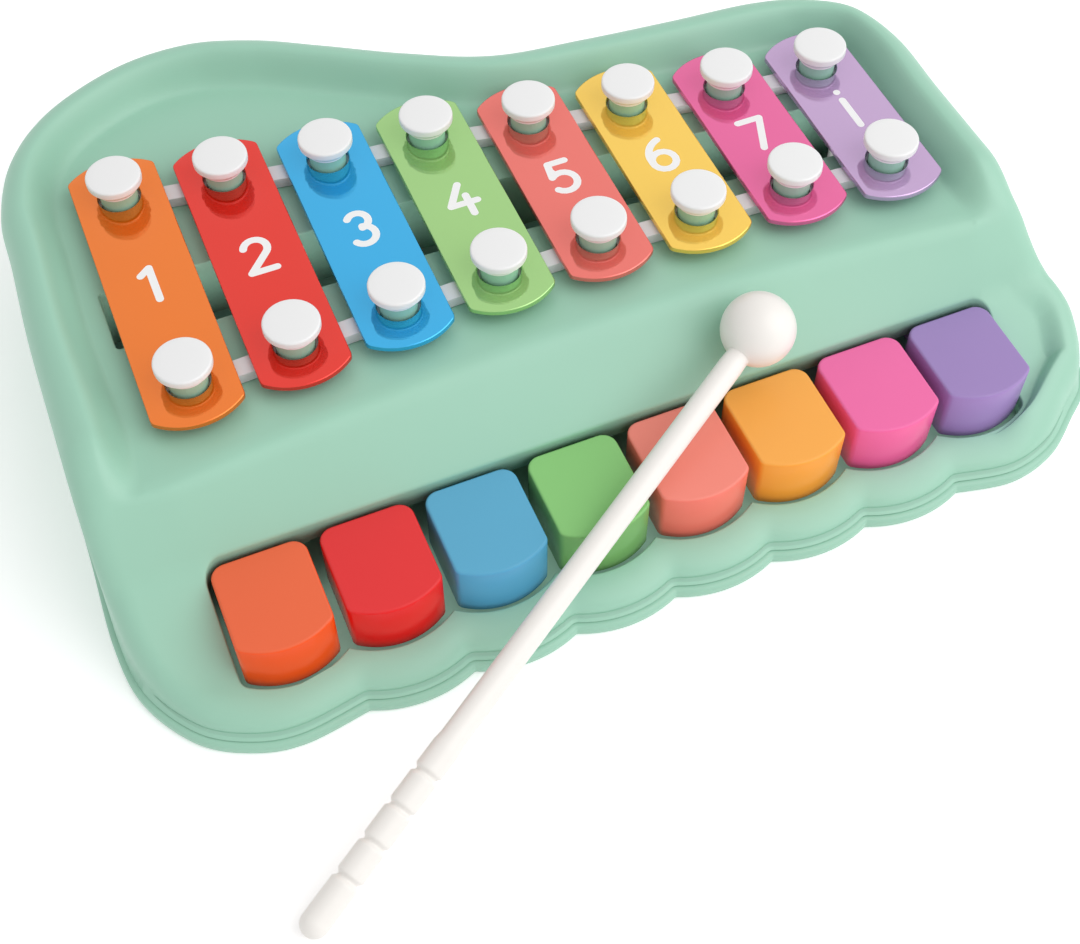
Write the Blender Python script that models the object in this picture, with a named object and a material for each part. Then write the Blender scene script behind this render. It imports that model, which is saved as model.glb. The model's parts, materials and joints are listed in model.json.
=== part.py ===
"""Toy piano with a glockenspiel: eight keys throw hammers at eight metal bars, and a mallet plays them too.

Lengths are in metres. +X points to the high notes, +Y to the back, +Z up, and the toy stands on z = 0.
The origin lies on the floor under the middle of the row of bars.
"""

import math

import bmesh
import bpy
from mathutils import Matrix, Vector

# Clearances
SEAT_GAP = 0.00025
SLIDE_GAP = 0.0004
PRESS_GAP = 0.0001
OVERRUN = 0.001
MERGE = 0.000001
MITRE_LIMIT = 0.6

# Bars
NOTES = 8
BAR_WIDTH = 0.0223
BAR_SPACE = 0.0037
BAR_THICK = 0.0017
BAR_LONGEST = 0.080
BAR_END_BULGE = 0.0045
BAR_BACK_SHARES = (0.566, 0.522, 0.473, 0.447, 0.386, 0.336, 0.281, 0.250)
BAR_FRONT_SHARES = (0.434, 0.418, 0.399, 0.388, 0.384, 0.399, 0.410, 0.433)
BAR_HOLE_GAP = 0.0007
BAR_CORNER_RADIUS = 0.0025
BAR_EDGE_ROUND = 0.0003
BAR_ARC_STEPS = 5
BAR_CORNER_STEPS = 1
BAR_HOLE_SIDES = 12

# Posts, caps and rails that carry the bars
POST_INSET = 0.0087
POST_RADIUS = 0.0046
POST_RISE = 0.0028
POST_BORE_SPARE = 0.001
POST_SIDES = 10
BORE_SIDES = 6
CAP_RADIUS = 0.0068
CAP_COLLAR_LIP = 0.0004
CAP_COLLAR_HEIGHT = 0.0006
CAP_FLARE_HEIGHT = 0.0018
CAP_EDGE_HEIGHT = 0.0020
CAP_EDGE_ROUND = 0.0006
CAP_DOME = 0.0002
CAP_STEM_RADIUS = 0.0018
CAP_STEM_LENGTH = 0.0055
CAP_SIDES = 12
RAIL_WIDTH = 0.005
RAIL_THICK = 0.0028
RAIL_EYE_WALL = 0.0022

# Keys
KEY_WIDTH = 0.023
KEY_SPACE = 0.0028
KEY_ROW_SHIFT = 0.0009
KEY_SIDE_LENGTH = 0.0229
KEY_FRONT_BULGE = 0.004
KEY_CORNER_RADIUS = 0.0038
KEY_TOP_HEIGHT = 0.0232
KEY_SKIRT_HEIGHT = 0.0072
KEY_WALL = 0.0018
KEY_EDGE_ROUND = 0.0007
KEY_CORNER_STEPS = 2
KEY_FRONT_STEPS = 4
KEY_TRAVEL_ANGLE = math.radians(5.5)

# Levers, hammers and axle
LEVER_WIDTH = 0.009
LEVER_THICK = 0.005
LEVER_REACH_SHARE = 0.6
AXLE_HEIGHT = 0.012
AXLE_SETBACK = 0.0165
AXLE_RADIUS = 0.0015
AXLE_PLAY = 0.0002
AXLE_BARREL_WALL = 0.0025
AXLE_SIDES = 8
HAMMER_LEAD = 0.0012
HAMMER_STEM = 0.0055
HAMMER_HEAD_RADIUS = 0.0040
HAMMER_HEAD_HEIGHT = 0.004
HAMMER_HEAD_FLARE = 0.0018
HAMMER_HEAD_ROUND = 0.0008
HAMMER_PEG_RADIUS = 0.0014
HAMMER_PEG_LENGTH = 0.005
HAMMER_STRIKE_GAP = 0.0003
LEVER_TAIL = 0.0045

# Body shell
BAR_SIDE_MARGIN = 0.0235
KEY_SIDE_MARGIN = 0.02185
BACK_MARGIN = 0.0367
TRAY_HEIGHT = 0.0402
TRAY_FRONT_MARGIN = 0.0037
SLOPE_RUN = 0.0189
RIM_RISE = 0.0085
RIM_WIDTH = 0.0160
RIM_ROUND = 0.0075
RIM_ROUND_SHARE = 0.47
FRONT_ROUND_SHARE = 0.94
ROUND_CHANGE_SHARE = 0.84
RIM_ROUND_REACH = 0.8
OUTER_EDGE_ANGLES = (0, 40, 90)
INNER_EDGE_ANGLES = (0, 90)
FALL_SHARES = (0.5, 1)
CREST_RUN = 0.016
RIDGE_RISE = 0.0045
RIDGE_REACH = 0.025
RIDGE_MIDDLE_SHARE = 0.25
CREASE_BOW = 0.0067
DECK_BACK_HEIGHT = 0.0250
FRONT_RIM_HEIGHT = 0.0095
FRONT_RIM_WIDTH = 0.0106
DECK_END_SLOPE = 0.15
SLOPE_STEPS = 2
DECK_STEPS = 6
SHELL_WALL = 0.0022
SHELL_SKIN = 0.0024
WALL_DRAFT = 0.0013
WELL_GAP = 0.0010
WELL_CORNER_RADIUS = 0.0045
WELL_LEDGE = 0.0010
SLOT_LEFT_Y = 0.0025
SLOT_RIGHT_Y = -0.0080
SLOT_BEND_SHARE = -0.2
SLOT_WIDTH = 0.0185
SLOT_END_MARGIN = 0.0016
SLOT_RIGHT_LOSS = 0.0040
LOBE_BULGE = 0.0028

# Base plate
BASE_EDGE = 0.003
BASE_FLOOR = 0.002
FLANGE_STEP = 0.0015
BASE_BORDER = 0.0050
BASE_CHAMFER = 0.0006
AXLE_RIB_THICK = 0.003
AXLE_RIB_LENGTH = 0.010
AXLE_RIB_CREST = 0.0035
REST_RIB_WIDTH = 0.0022
REST_RIB_Y = -0.0200

# Screws and their bosses
BOSS_WALL = 0.0022
BOSS_SIDES = 8
SCREW_RADIUS = 0.0013
SCREW_PLAY = 0.0005
SCREW_LENGTH = 0.011
SCREW_HEAD_RADIUS = 0.0029
SCREW_HEAD_HEIGHT = 0.0018
SCREW_CUP_WALL = 0.0016
SCREW_SINK = 0.0012
SCREW_CUP_ROOF = 0.0020
SCREW_SLOT_WIDTH = 0.0009
SCREW_SLOT_DEPTH = 0.0009
SCREW_SLOT_SHARE = 0.7
SCREW_TIP = 0.002

# Mallet
MALLET_HEAD_RADIUS = 0.00915
MALLET_STICK_RADIUS = 0.0031
MALLET_NECK_RADIUS = 0.0029
MALLET_GRIP_RADIUS = 0.0034
MALLET_GRIP_LENGTH = 0.0455
MALLET_GROOVES = 4
MALLET_GROOVE_DEPTH = 0.0008
MALLET_GROOVE_WIDTH = 0.0024
MALLET_GROOVE_START = 1.21
MALLET_LENGTH = 0.1684
MALLET_TENON = 0.003
MALLET_END_SIDE = 0.1038
MALLET_END_AHEAD = 0.0406
MALLET_HEADING = math.radians(30.22)
MALLET_STEEPEST = math.radians(60)
MALLET_TILT_STEPS = 30
MALLET_SIDES = 12
MALLET_END_STEPS = 3
MALLET_HEAD_SIDES = 20
MALLET_HEAD_STEPS = 10

# The body's outline in plan, from the last notch on the right round the back to the first notch on the left.
# Each row is x as a share of the body's half width, y as a share of its reach to the back or the front,
# and the rim's width as a share of RIM_WIDTH.
OUTLINE_SHARES = (
    (0.743, -1.027, 0.66),
    (0.851, -0.992, 0.70),
    (0.942, -0.910, 0.76),
    (0.989, -0.863, 0.80),
    (1.016, -0.806, 0.90),
    (1.029, -0.748, 0.92),
    (1.033, -0.684, 0.94),
    (1.018, -0.617, 0.95),
    (0.989, -0.552, 1.03),
    (0.968, -0.478, 1.12),
    (0.960, -0.390, 1.14),
    (0.957, -0.099, 1.12),
    (0.955, 0.142, 1.02),
    (0.910, 0.334, 0.90),
    (0.814, 0.446, 0.95),
    (0.691, 0.507, 1.08),
    (0.492, 0.533, 1.12),
    (0.298, 0.560, 1.10),
    (0.113, 0.597, 1.06),
    (-0.045, 0.704, 1.03),
    (-0.200, 0.838, 1.03),
    (-0.332, 0.946, 1.05),
    (-0.478, 1.012, 1.06),
    (-0.646, 0.993, 1.04),
    (-0.818, 0.876, 1.03),
    (-0.926, 0.707, 1.03),
    (-0.978, 0.498, 1.05),
    (-0.987, 0.287, 1.07),
    (-0.998, 0.000, 1.10),
    (-1.003, -0.351, 1.19),
    (-1.009, -0.606, 1.00),
    (-0.990, -0.778, 0.86),
    (-0.921, -0.924, 0.76),
    (-0.831, -0.998, 0.70),
    (-0.736, -1.023, 0.66),
)
OUTLINE_STEPS = 2
LOBE_STEPS = 4

# Where the screws go: x as a share of the body's half width, y as a share of its reach.
SCREW_SHARES = (
    (-0.890, -0.700), (0.903, -0.700), (-0.760, 0.640),
    (-0.300, 0.660), (0.240, 0.340), (0.780, 0.260),
)

BAR_COLORS = (
    (0.871, 0.223, 0.045), (0.831, 0.048, 0.038), (0.070, 0.429, 0.791), (0.376, 0.644, 0.242),
    (0.871, 0.188, 0.156), (0.956, 0.610, 0.127), (0.831, 0.102, 0.328), (0.485, 0.328, 0.645),
)
KEY_COLORS = (
    (0.855, 0.171, 0.080), (0.776, 0.061, 0.061), (0.127, 0.413, 0.631), (0.262, 0.578, 0.205),
    (0.871, 0.223, 0.181), (0.914, 0.429, 0.091), (0.871, 0.181, 0.413), (0.366, 0.254, 0.533),
)
MINT = (0.352, 0.658, 0.503)
WHITE = (0.88, 0.88, 0.88)
WARM_WHITE = (0.90, 0.87, 0.85)
RAIL_GREY = (0.68, 0.68, 0.70)
STEEL = (0.55, 0.55, 0.57)

# Values worked out from the sizes above
ROW_HALF = (NOTES - 1) / 2
BAR_PITCH = BAR_WIDTH + BAR_SPACE
BAR_HOLE_RADIUS = POST_RADIUS + BAR_HOLE_GAP
CAP_COLLAR_RADIUS = POST_RADIUS + CAP_COLLAR_LIP
KEY_PITCH = KEY_WIDTH + KEY_SPACE
AXLE_BORE_RADIUS = AXLE_RADIUS + AXLE_PLAY
AXLE_BARREL_RADIUS = AXLE_BORE_RADIUS + AXLE_BARREL_WALL
BOSS_BORE_RADIUS = SCREW_RADIUS + PRESS_GAP
BOSS_RADIUS = BOSS_BORE_RADIUS + BOSS_WALL
SCREW_HOLE_RADIUS = SCREW_RADIUS + SCREW_PLAY
SCREW_CUP_RADIUS = SCREW_HEAD_RADIUS + SCREW_PLAY
SCREW_CUP_DEPTH = SCREW_HEAD_HEIGHT + SCREW_SINK
BAR_BOTTOM = TRAY_HEIGHT + SEAT_GAP + RAIL_THICK + SEAT_GAP
BAR_TOP = BAR_BOTTOM + BAR_THICK
POST_TOP = BAR_TOP + POST_RISE
CREASE_Y = -(BAR_FRONT_SHARES[0] * BAR_LONGEST + BAR_END_BULGE + TRAY_FRONT_MARGIN)
WELL_BACK_Y = CREASE_Y - SLOPE_RUN + WELL_GAP
KEY_BACK_Y = WELL_BACK_Y - WELL_GAP
KEY_CORNER_Y = KEY_BACK_Y - KEY_SIDE_LENGTH
KEY_FRONT_Y = KEY_CORNER_Y - KEY_FRONT_BULGE
WELL_FRONT_Y = KEY_FRONT_Y - WELL_GAP
WELL_CORNER_Y = WELL_FRONT_Y + KEY_FRONT_BULGE
LOBE_FRONT_Y = WELL_FRONT_Y - WELL_LEDGE - FRONT_RIM_WIDTH
NOTCH_Y = LOBE_FRONT_Y + LOBE_BULGE
WELL_HALF = ROW_HALF * KEY_PITCH + KEY_WIDTH / 2 + WELL_GAP
BAR_ROW_HALF = ROW_HALF * BAR_PITCH + BAR_WIDTH / 2
SLOT_REACH = BAR_ROW_HALF + SLOT_END_MARGIN
BODY_HALF = max(BAR_ROW_HALF + BAR_SIDE_MARGIN, abs(KEY_ROW_SHIFT) + WELL_HALF + KEY_SIDE_MARGIN)
BACK_REACH = BAR_BACK_SHARES[0] * BAR_LONGEST + BAR_END_BULGE + BACK_MARGIN
FRONT_REACH = -NOTCH_Y
SHELL_FOOT = BASE_EDGE + SEAT_GAP
AXLE_Y = KEY_BACK_Y + AXLE_SETBACK
LEVER_TOP = AXLE_HEIGHT + LEVER_THICK / 2
LEVER_BOTTOM = AXLE_HEIGHT - LEVER_THICK / 2
BARREL_LENGTH = KEY_PITCH - AXLE_RIB_THICK - 2 * SLIDE_GAP
KEY_WEB_TOP = KEY_TOP_HEIGHT - KEY_WALL / 2
BOSS_FOOT = SCREW_CUP_DEPTH + SCREW_CUP_ROOF + SEAT_GAP
CORNER_TURN = math.radians(30)
SHARP_ANGLE = math.radians(35)


def clear_scene():
    for obj in list(bpy.data.objects):
        bpy.data.objects.remove(obj, do_unlink=True)


def material(name, color, roughness, metallic=0.0):
    made = bpy.data.materials.new(name)
    made.use_nodes = True
    shader = made.node_tree.nodes["Principled BSDF"]
    shader.inputs["Base Color"].default_value = (*color, 1.0)
    shader.inputs["Roughness"].default_value = roughness
    shader.inputs["Metallic"].default_value = metallic
    made.diffuse_color = (*color, 1.0)
    return made


def mesh_from(bm, name):
    bmesh.ops.recalc_face_normals(bm, faces=bm.faces)
    mesh = bpy.data.meshes.new(name)
    bm.to_mesh(mesh)
    bm.free()
    mesh.shade_smooth()
    mesh.set_sharp_from_angle(angle=SHARP_ANGLE)
    return mesh


def place(name, mesh, finish, location=(0, 0, 0)):
    obj = bpy.data.objects.new(name, mesh)
    bpy.context.collection.objects.link(obj)
    obj.location = location
    if not mesh.materials:
        mesh.materials.append(finish)
    obj.material_slots[0].link = "OBJECT"
    obj.material_slots[0].material = finish
    return obj


def helper(name, bm):
    """A cutter or a body to join: it is used by a Boolean and left out of the model."""
    obj = bpy.data.objects.new(name, mesh_from(bm, name))
    bpy.context.collection.objects.link(obj)
    obj.hide_render = True
    obj.display_type = "WIRE"
    return obj


def boolean(obj, other, operation):
    modifier = obj.modifiers.new(operation.title() + " " + other.name, "BOOLEAN")
    modifier.operation = operation
    modifier.solver = "EXACT"
    modifier.object = other


def weld(mesh):
    """Joins the points that a Boolean left in one place, where two of its cuts meet."""
    bm = bmesh.new()
    bm.from_mesh(mesh)
    bmesh.ops.remove_doubles(bm, verts=bm.verts, dist=MERGE)
    bmesh.ops.dissolve_degenerate(bm, dist=MERGE, edges=bm.edges)
    bm.to_mesh(mesh)
    bm.free()


def finished_mesh(obj, name):
    """The object's shape with its modifiers, as a mesh of its own."""
    bpy.context.view_layer.update()
    graph = bpy.context.evaluated_depsgraph_get()
    mesh = bpy.data.meshes.new_from_object(obj.evaluated_get(graph))
    weld(mesh)
    mesh.name = name
    mesh.materials.clear()
    mesh.shade_smooth()
    mesh.set_sharp_from_angle(angle=SHARP_ANGLE)
    return mesh


def remove(*objects):
    for obj in objects:
        bpy.data.objects.remove(obj, do_unlink=True)


def smooth_step(t):
    t = min(max(t, 0.0), 1.0)
    return t * t * (3 - 2 * t)


def circle(radius, sides, center=(0, 0)):
    turn = 2 * math.pi / sides
    return [
        (center[0] + radius * math.cos(i * turn), center[1] + radius * math.sin(i * turn))
        for i in range(sides)
    ]


def bore_circle(radius, sides, center):
    """A many-sided hole that a round pin of this radius fits through."""
    return circle(radius / math.cos(math.pi / sides), sides, center)


def arc(center, radius, start, end, steps):
    return [
        (
            center[0] + radius * math.cos(start + (end - start) * i / steps),
            center[1] + radius * math.sin(start + (end - start) * i / steps),
        )
        for i in range(steps + 1)
    ]


def shallow_arc(start, end, bulge, steps):
    """Points from start to end on the arc that stands out by bulge to the right of the way."""
    chord = math.hypot(end[0] - start[0], end[1] - start[1])
    radius = (chord * chord / 4 + bulge * bulge) / (2 * bulge)
    along = ((end[0] - start[0]) / chord, (end[1] - start[1]) / chord)
    side = (along[1], -along[0])
    half = math.asin(chord / 2 / radius)
    points = []
    for i in range(steps + 1):
        angle = half * (2 * i / steps - 1)
        run = chord / 2 + radius * math.sin(angle)
        rise = radius * math.cos(angle) - (radius - bulge)
        points.append(
            (
                start[0] + along[0] * run + side[0] * rise,
                start[1] + along[1] * run + side[1] * rise,
            )
        )
    return points


def add_prism(bm, outline, low, high):
    """Adds an upright prism over a plan outline."""
    bottom = [bm.verts.new((x, y, low)) for x, y in outline]
    face = bm.faces.new(bottom)
    extruded = bmesh.ops.extrude_face_region(bm, geom=[face])
    lifted = [item for item in extruded["geom"] if isinstance(item, bmesh.types.BMVert)]
    bmesh.ops.translate(bm, verts=lifted, vec=(0, 0, high - low))
    return bottom, lifted


def add_turned(bm, profile, sides, center=(0, 0)):
    """Adds a solid turned about an upright axis, from a profile that begins and ends on the axis."""
    turned = bmesh.new()
    verts = [turned.verts.new((radius, 0, height)) for radius, height in profile]
    edges = [turned.edges.new(pair) for pair in zip(verts, verts[1:])]
    bmesh.ops.spin(
        turned,
        geom=verts + edges,
        cent=(0, 0, 0),
        axis=(0, 0, 1),
        angle=2 * math.pi,
        steps=sides,
        use_merge=True,
    )
    bmesh.ops.remove_doubles(turned, verts=turned.verts, dist=MERGE)
    bmesh.ops.recalc_face_normals(turned, faces=turned.faces)
    bmesh.ops.translate(turned, verts=turned.verts, vec=(center[0], center[1], 0))
    mesh = bpy.data.meshes.new("Turned")
    turned.to_mesh(mesh)
    turned.free()
    bm.from_mesh(mesh)
    bpy.data.meshes.remove(mesh)


def add_box(bm, low, high):
    center = [(a + b) / 2 for a, b in zip(low, high)]
    size = [b - a for a, b in zip(low, high)]
    matrix = Matrix.Translation(center) @ Matrix.Diagonal((*size, 1.0))
    bmesh.ops.create_cube(bm, size=1.0, matrix=matrix)


# The row of bars and the row of keys


def bar_x(note):
    return (note - 1 - ROW_HALF) * BAR_PITCH


def key_x(note):
    return KEY_ROW_SHIFT + (note - 1 - ROW_HALF) * KEY_PITCH


def bar_ends(note):
    return -BAR_FRONT_SHARES[note - 1] * BAR_LONGEST, BAR_BACK_SHARES[note - 1] * BAR_LONGEST


def post_places(note):
    front, back = bar_ends(note)
    return (bar_x(note), front + POST_INSET), (bar_x(note), back - POST_INSET)


# The body's plan and heights


def outline_points():
    """The base's outline, counterclockwise from the last notch, with the rim's width at each point."""
    knots = []
    for x_share, y_share, width_share in OUTLINE_SHARES:
        reach = BACK_REACH if y_share > 0 else FRONT_REACH
        knots.append((x_share * BODY_HALF, y_share * reach, width_share * RIM_WIDTH))
    front_width = FRONT_RIM_WIDTH
    first = (key_x(NOTES) - KEY_PITCH / 2, NOTCH_Y, front_width)
    last = (key_x(1) + KEY_PITCH / 2, NOTCH_Y, front_width)
    knots = [first] + knots + [last]
    points = [first]
    for i in range(len(knots) - 1):
        before = knots[i - 1] if i else knots[0]
        after = knots[i + 2] if i + 2 < len(knots) else knots[-1]
        steps = OUTLINE_STEPS
        for step in range(1, steps + 1):
            points.append(catmull_rom(before, knots[i], knots[i + 1], after, step / steps))
    for note in range(2, NOTES):
        start = (key_x(note) - KEY_PITCH / 2, NOTCH_Y)
        end = (key_x(note) + KEY_PITCH / 2, NOTCH_Y)
        lobe = shallow_arc(start, end, LOBE_BULGE, LOBE_STEPS)
        points += [(x, y, front_width) for x, y in lobe[1:]]
    return points[:-1]


def catmull_rom(before, start, end, after, t):
    """The point at t on the smooth curve from start to end, for each coordinate."""
    weights = (
        (2 * t * t - t - t ** 3) / 2,
        (2 - 5 * t * t + 3 * t ** 3) / 2,
        (t + 4 * t * t - 3 * t ** 3) / 2,
        (t ** 3 - t * t) / 2,
    )
    return tuple(
        sum(weight * value for weight, value in zip(weights, values))
        for values in zip(before, start, end, after)
    )


def inward_normals(points):
    """Unit vectors that point into the body, square to the outline."""
    normals = []
    count = len(points)
    for i in range(count):
        before, here, after = points[i - 1], points[i], points[(i + 1) % count]
        one = Vector((here[0] - before[0], here[1] - before[1])).normalized()
        two = Vector((after[0] - here[0], after[1] - here[1])).normalized()
        along = (one + two).normalized()
        stretch = 1 / max(along.dot(one), MITRE_LIMIT)
        normals.append(Vector((-along.y, along.x)) * stretch)
    return normals


def crease_y(x):
    """Where the tray ends and the slope to the keys begins. It bows towards the keys at both sides."""
    return CREASE_Y - CREASE_BOW * min(abs(x) / WELL_HALF, 1) ** 2


def straightened(x, y):
    """The y that a point of the top has once the crease is pulled straight, with the other lines kept."""
    crease = crease_y(x)
    if crease <= y < 0:
        return y * CREASE_Y / crease
    if WELL_BACK_Y < y < crease:
        return WELL_BACK_Y + (y - WELL_BACK_Y) * (CREASE_Y - WELL_BACK_Y) / (crease - WELL_BACK_Y)
    return y


def bent(x, y):
    """The other way round: where a point lies once the straight crease is bowed again."""
    crease = crease_y(x)
    if CREASE_Y <= y < 0:
        return y * crease / CREASE_Y
    if WELL_BACK_Y < y < CREASE_Y:
        return WELL_BACK_Y + (y - WELL_BACK_Y) * (crease - WELL_BACK_Y) / (CREASE_Y - WELL_BACK_Y)
    return y


def deck_lines():
    """The straightened y of the lines along which the slope and the deck are bent."""
    slope = [CREASE_Y + (WELL_BACK_Y - CREASE_Y) * i / SLOPE_STEPS for i in range(SLOPE_STEPS + 1)]
    deck = [WELL_BACK_Y + (KEY_CORNER_Y - WELL_BACK_Y) * i / DECK_STEPS for i in range(1, DECK_STEPS + 1)]
    return slope + deck


def floor_height(x, y):
    """The height of the tray, of the slope in front of it and of the deck round the keys."""
    along = straightened(x, y)
    if along >= CREASE_Y:
        return TRAY_HEIGHT
    fall = TRAY_HEIGHT - DECK_BACK_HEIGHT
    run = CREASE_Y - WELL_BACK_Y
    if along >= WELL_BACK_Y:
        return TRAY_HEIGHT - fall * (CREASE_Y - along) / run
    deck_run = WELL_BACK_Y - KEY_CORNER_Y
    t = (WELL_BACK_Y - along) / deck_run
    if t >= 1:
        return FRONT_RIM_HEIGHT - DECK_END_SLOPE * deck_run * (t - 1)
    height = DECK_BACK_HEIGHT + (FRONT_RIM_HEIGHT - DECK_BACK_HEIGHT) * smooth_step(t)
    return height - deck_run * t * (1 - t) * (fall / run * (1 - t) - DECK_END_SLOPE * t)


def rim_rise(x, y):
    """How far the rim's crest stands above the tray: it rises behind the crease, as the slope goes on."""
    t = min(max((y - crease_y(x)) / CREST_RUN, 0), 1)
    return RIM_RISE * math.sin(math.pi / 2 * t) + ridge_rise(x, y)


def ridge_rise(x, y):
    """The rim also stands up beside the highest key, where the body bulges."""
    middle = WELL_CORNER_Y + (WELL_BACK_Y - WELL_CORNER_Y) * RIDGE_MIDDLE_SHARE
    away = min(abs(y - middle) / RIDGE_REACH, 1)
    aside = (x - key_x(NOTES)) / (WELL_HALF - key_x(NOTES))
    return RIDGE_RISE * smooth_step(aside) * (1 + math.cos(math.pi * away)) / 2


def rim_across(width):
    """How far in from the wall the rim's rounding reaches: nearly all the way where the rim is narrow."""
    wide = ROUND_CHANGE_SHARE * RIM_WIDTH
    narrow = min(max((wide - width) / (wide - FRONT_RIM_WIDTH), 0), 1)
    share = RIM_ROUND_SHARE + (FRONT_ROUND_SHARE - RIM_ROUND_SHARE) * narrow
    return share * (width - FLANGE_STEP - WALL_DRAFT)


def rim_stages(angles):
    """The rings of the top skin across the rim: the edge's rounding by angle, then the fall to the tray."""
    return [("edge", math.radians(angle)) for angle in angles] + [("fall", share) for share in FALL_SHARES]


def rim_ring(points, normals, stage, wall, skin):
    """One ring of the top skin, or of the same skin moved inwards by wall and down by skin."""
    kind, value = stage
    ring = []
    for (x, y, width), normal in zip(points, normals):
        across = rim_across(width)
        flat = FLANGE_STEP + WALL_DRAFT + across
        if kind == "edge":
            way = FLANGE_STEP + WALL_DRAFT + across * (1 - math.cos(value))
            bump = 1
        else:
            way = flat + (width - flat) * value
            bump = (1 + math.cos(math.pi * value)) / 2
        here = (x + normal.x * way, y + normal.y * way)
        height = floor_height(*here) + rim_rise(*here) * bump
        moved = way
        if kind == "edge":
            down = min(RIM_ROUND, RIM_ROUND_REACH * (height - SHELL_FOOT))
            height += skin_drop(value, down, skin)
            moved += wall * math.cos(value)
        else:
            height -= skin
        ring.append((x + normal.x * moved, y + normal.y * moved, height))
    return ring


def skin_drop(angle, down, skin):
    return -down * (1 - math.sin(angle)) - skin * math.sin(angle)


def flat_ring(points, normals, way, height):
    return [(p[0] + n.x * way, p[1] + n.y * way, height) for p, n in zip(points, normals)]


def add_rings(bm, rings):
    """Adds a closed solid through a stack of rings. Returns its bottom face and its top face."""
    rows = [[bm.verts.new(point) for point in ring] for ring in rings]
    count = len(rows[0])
    for lower, upper in zip(rows, rows[1:]):
        for i in range(count):
            j = (i + 1) % count
            bm.faces.new((lower[i], lower[j], upper[j], upper[i]))
    bottom = bm.faces.new(list(reversed(rows[0])))
    top = bm.faces.new(rows[-1])
    return bottom, top


def shell_body(wall, skin, angles, foot):
    """The shell's outside, or the room inside it: a solid under the top skin."""
    points = outline_points()
    normals = inward_normals(points)
    rings = [flat_ring(points, normals, FLANGE_STEP + wall, foot)]
    rings += [rim_ring(points, normals, stage, wall, skin) for stage in rim_stages(angles)]
    bm = bmesh.new()
    _, top = add_rings(bm, rings)
    for vert in top.verts:
        vert.co.y = straightened(vert.co.x, vert.co.y)
    deck = [top]
    for y in deck_lines():
        deck = split_faces(bm, deck, (0, y, 0), (0, 1, 0))
    for x in rib_places():
        deck = split_faces(bm, deck, (x, 0, 0), (1, 0, 0))
    for vert in {vert for face in deck for vert in face.verts}:
        vert.co.y = bent(vert.co.x, vert.co.y)
        vert.co.z = floor_height(vert.co.x, vert.co.y) - skin
    bmesh.ops.triangulate(bm, faces=bm.faces)
    return bm


def split_faces(bm, faces, point, normal):
    """Cuts the faces along a plane and returns their pieces."""
    edges = {edge for face in faces for edge in face.edges}
    verts = {vert for face in faces for vert in face.verts}
    cut = bmesh.ops.bisect_plane(
        bm,
        geom=list(verts) + list(edges) + list(faces),
        dist=MERGE,
        plane_co=point,
        plane_no=normal,
    )
    return [item for item in cut["geom"] if isinstance(item, bmesh.types.BMFace)]


def round_corners(outline, radius, steps):
    """Rounds the outward corners of a counterclockwise outline; shallow ones stay as they are."""
    rounded = []
    count = len(outline)
    for i in range(count):
        before, here, after = Vector(outline[i - 1]), Vector(outline[i]), Vector(outline[(i + 1) % count])
        one = (here - before).normalized()
        two = (after - here).normalized()
        turn = math.atan2(one.x * two.y - one.y * two.x, one.dot(two))
        if turn < CORNER_TURN:
            rounded.append(tuple(here))
            continue
        room = min((here - before).length, (after - here).length) / 2
        reach = min(radius * math.tan(turn / 2), room)
        limited = reach / math.tan(turn / 2)
        start = here - one * reach
        center = start + Vector((-one.y, one.x)) * limited
        first = math.atan2(start.y - center.y, start.x - center.x)
        rounded += arc(center, limited, first, first + turn, steps)
    return rounded


def key_outline(gap=0):
    """A key's plan about its own centre line, grown by gap. The front is a shallow arc."""
    half = KEY_WIDTH / 2 + gap
    back = KEY_BACK_Y + gap
    front = KEY_CORNER_Y - gap
    corners = [(half, back), (-half, back)]
    front_arc = shallow_arc((-half, front), (half, front), KEY_FRONT_BULGE, KEY_FRONT_STEPS)
    return round_corners(corners + front_arc, KEY_CORNER_RADIUS + gap, KEY_CORNER_STEPS)


def well_outline():
    """The opening for all the keys: straight at the back and the sides, with a lobe under each key."""
    left = KEY_ROW_SHIFT - WELL_HALF
    right = KEY_ROW_SHIFT + WELL_HALF
    outline = [(right, WELL_BACK_Y), (left, WELL_BACK_Y)]
    for note in range(1, NOTES + 1):
        start = (left if note == 1 else key_x(note) - KEY_PITCH / 2, WELL_CORNER_Y)
        end = (right if note == NOTES else key_x(note) + KEY_PITCH / 2, WELL_CORNER_Y)
        lobe = shallow_arc(start, end, KEY_FRONT_BULGE, LOBE_STEPS)
        outline += lobe if note == 1 else lobe[1:]
    return round_corners(outline, WELL_CORNER_RADIUS, KEY_CORNER_STEPS)


def slot_middle(x):
    """The middle of the long opening in the tray, which follows the middles of the bars."""
    bend = SLOT_BEND_SHARE * SLOT_REACH
    if x <= bend:
        return SLOT_LEFT_Y
    return SLOT_LEFT_Y + (SLOT_RIGHT_Y - SLOT_LEFT_Y) * (x - bend) / (SLOT_REACH - bend)


def slot_outline():
    """The long opening in the tray through which the hammers reach the bars."""
    places = (-SLOT_REACH, SLOT_BEND_SHARE * SLOT_REACH, SLOT_REACH - SLOT_RIGHT_LOSS)
    front = [(x, slot_middle(x) - SLOT_WIDTH / 2) for x in places]
    back = [(x, slot_middle(x) + SLOT_WIDTH / 2) for x in reversed(places)]
    return front + back


def hammer_y(note):
    return slot_middle(bar_x(note)) + HAMMER_LEAD


def hammer_top(note):
    """The height of the hammer's head at rest: its far edge stops just under the bar when the key is down."""
    rise = (hammer_y(note) + HAMMER_HEAD_RADIUS - AXLE_Y) * math.sin(KEY_TRAVEL_ANGLE)
    return BAR_BOTTOM - HAMMER_STRIKE_GAP - rise


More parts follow.
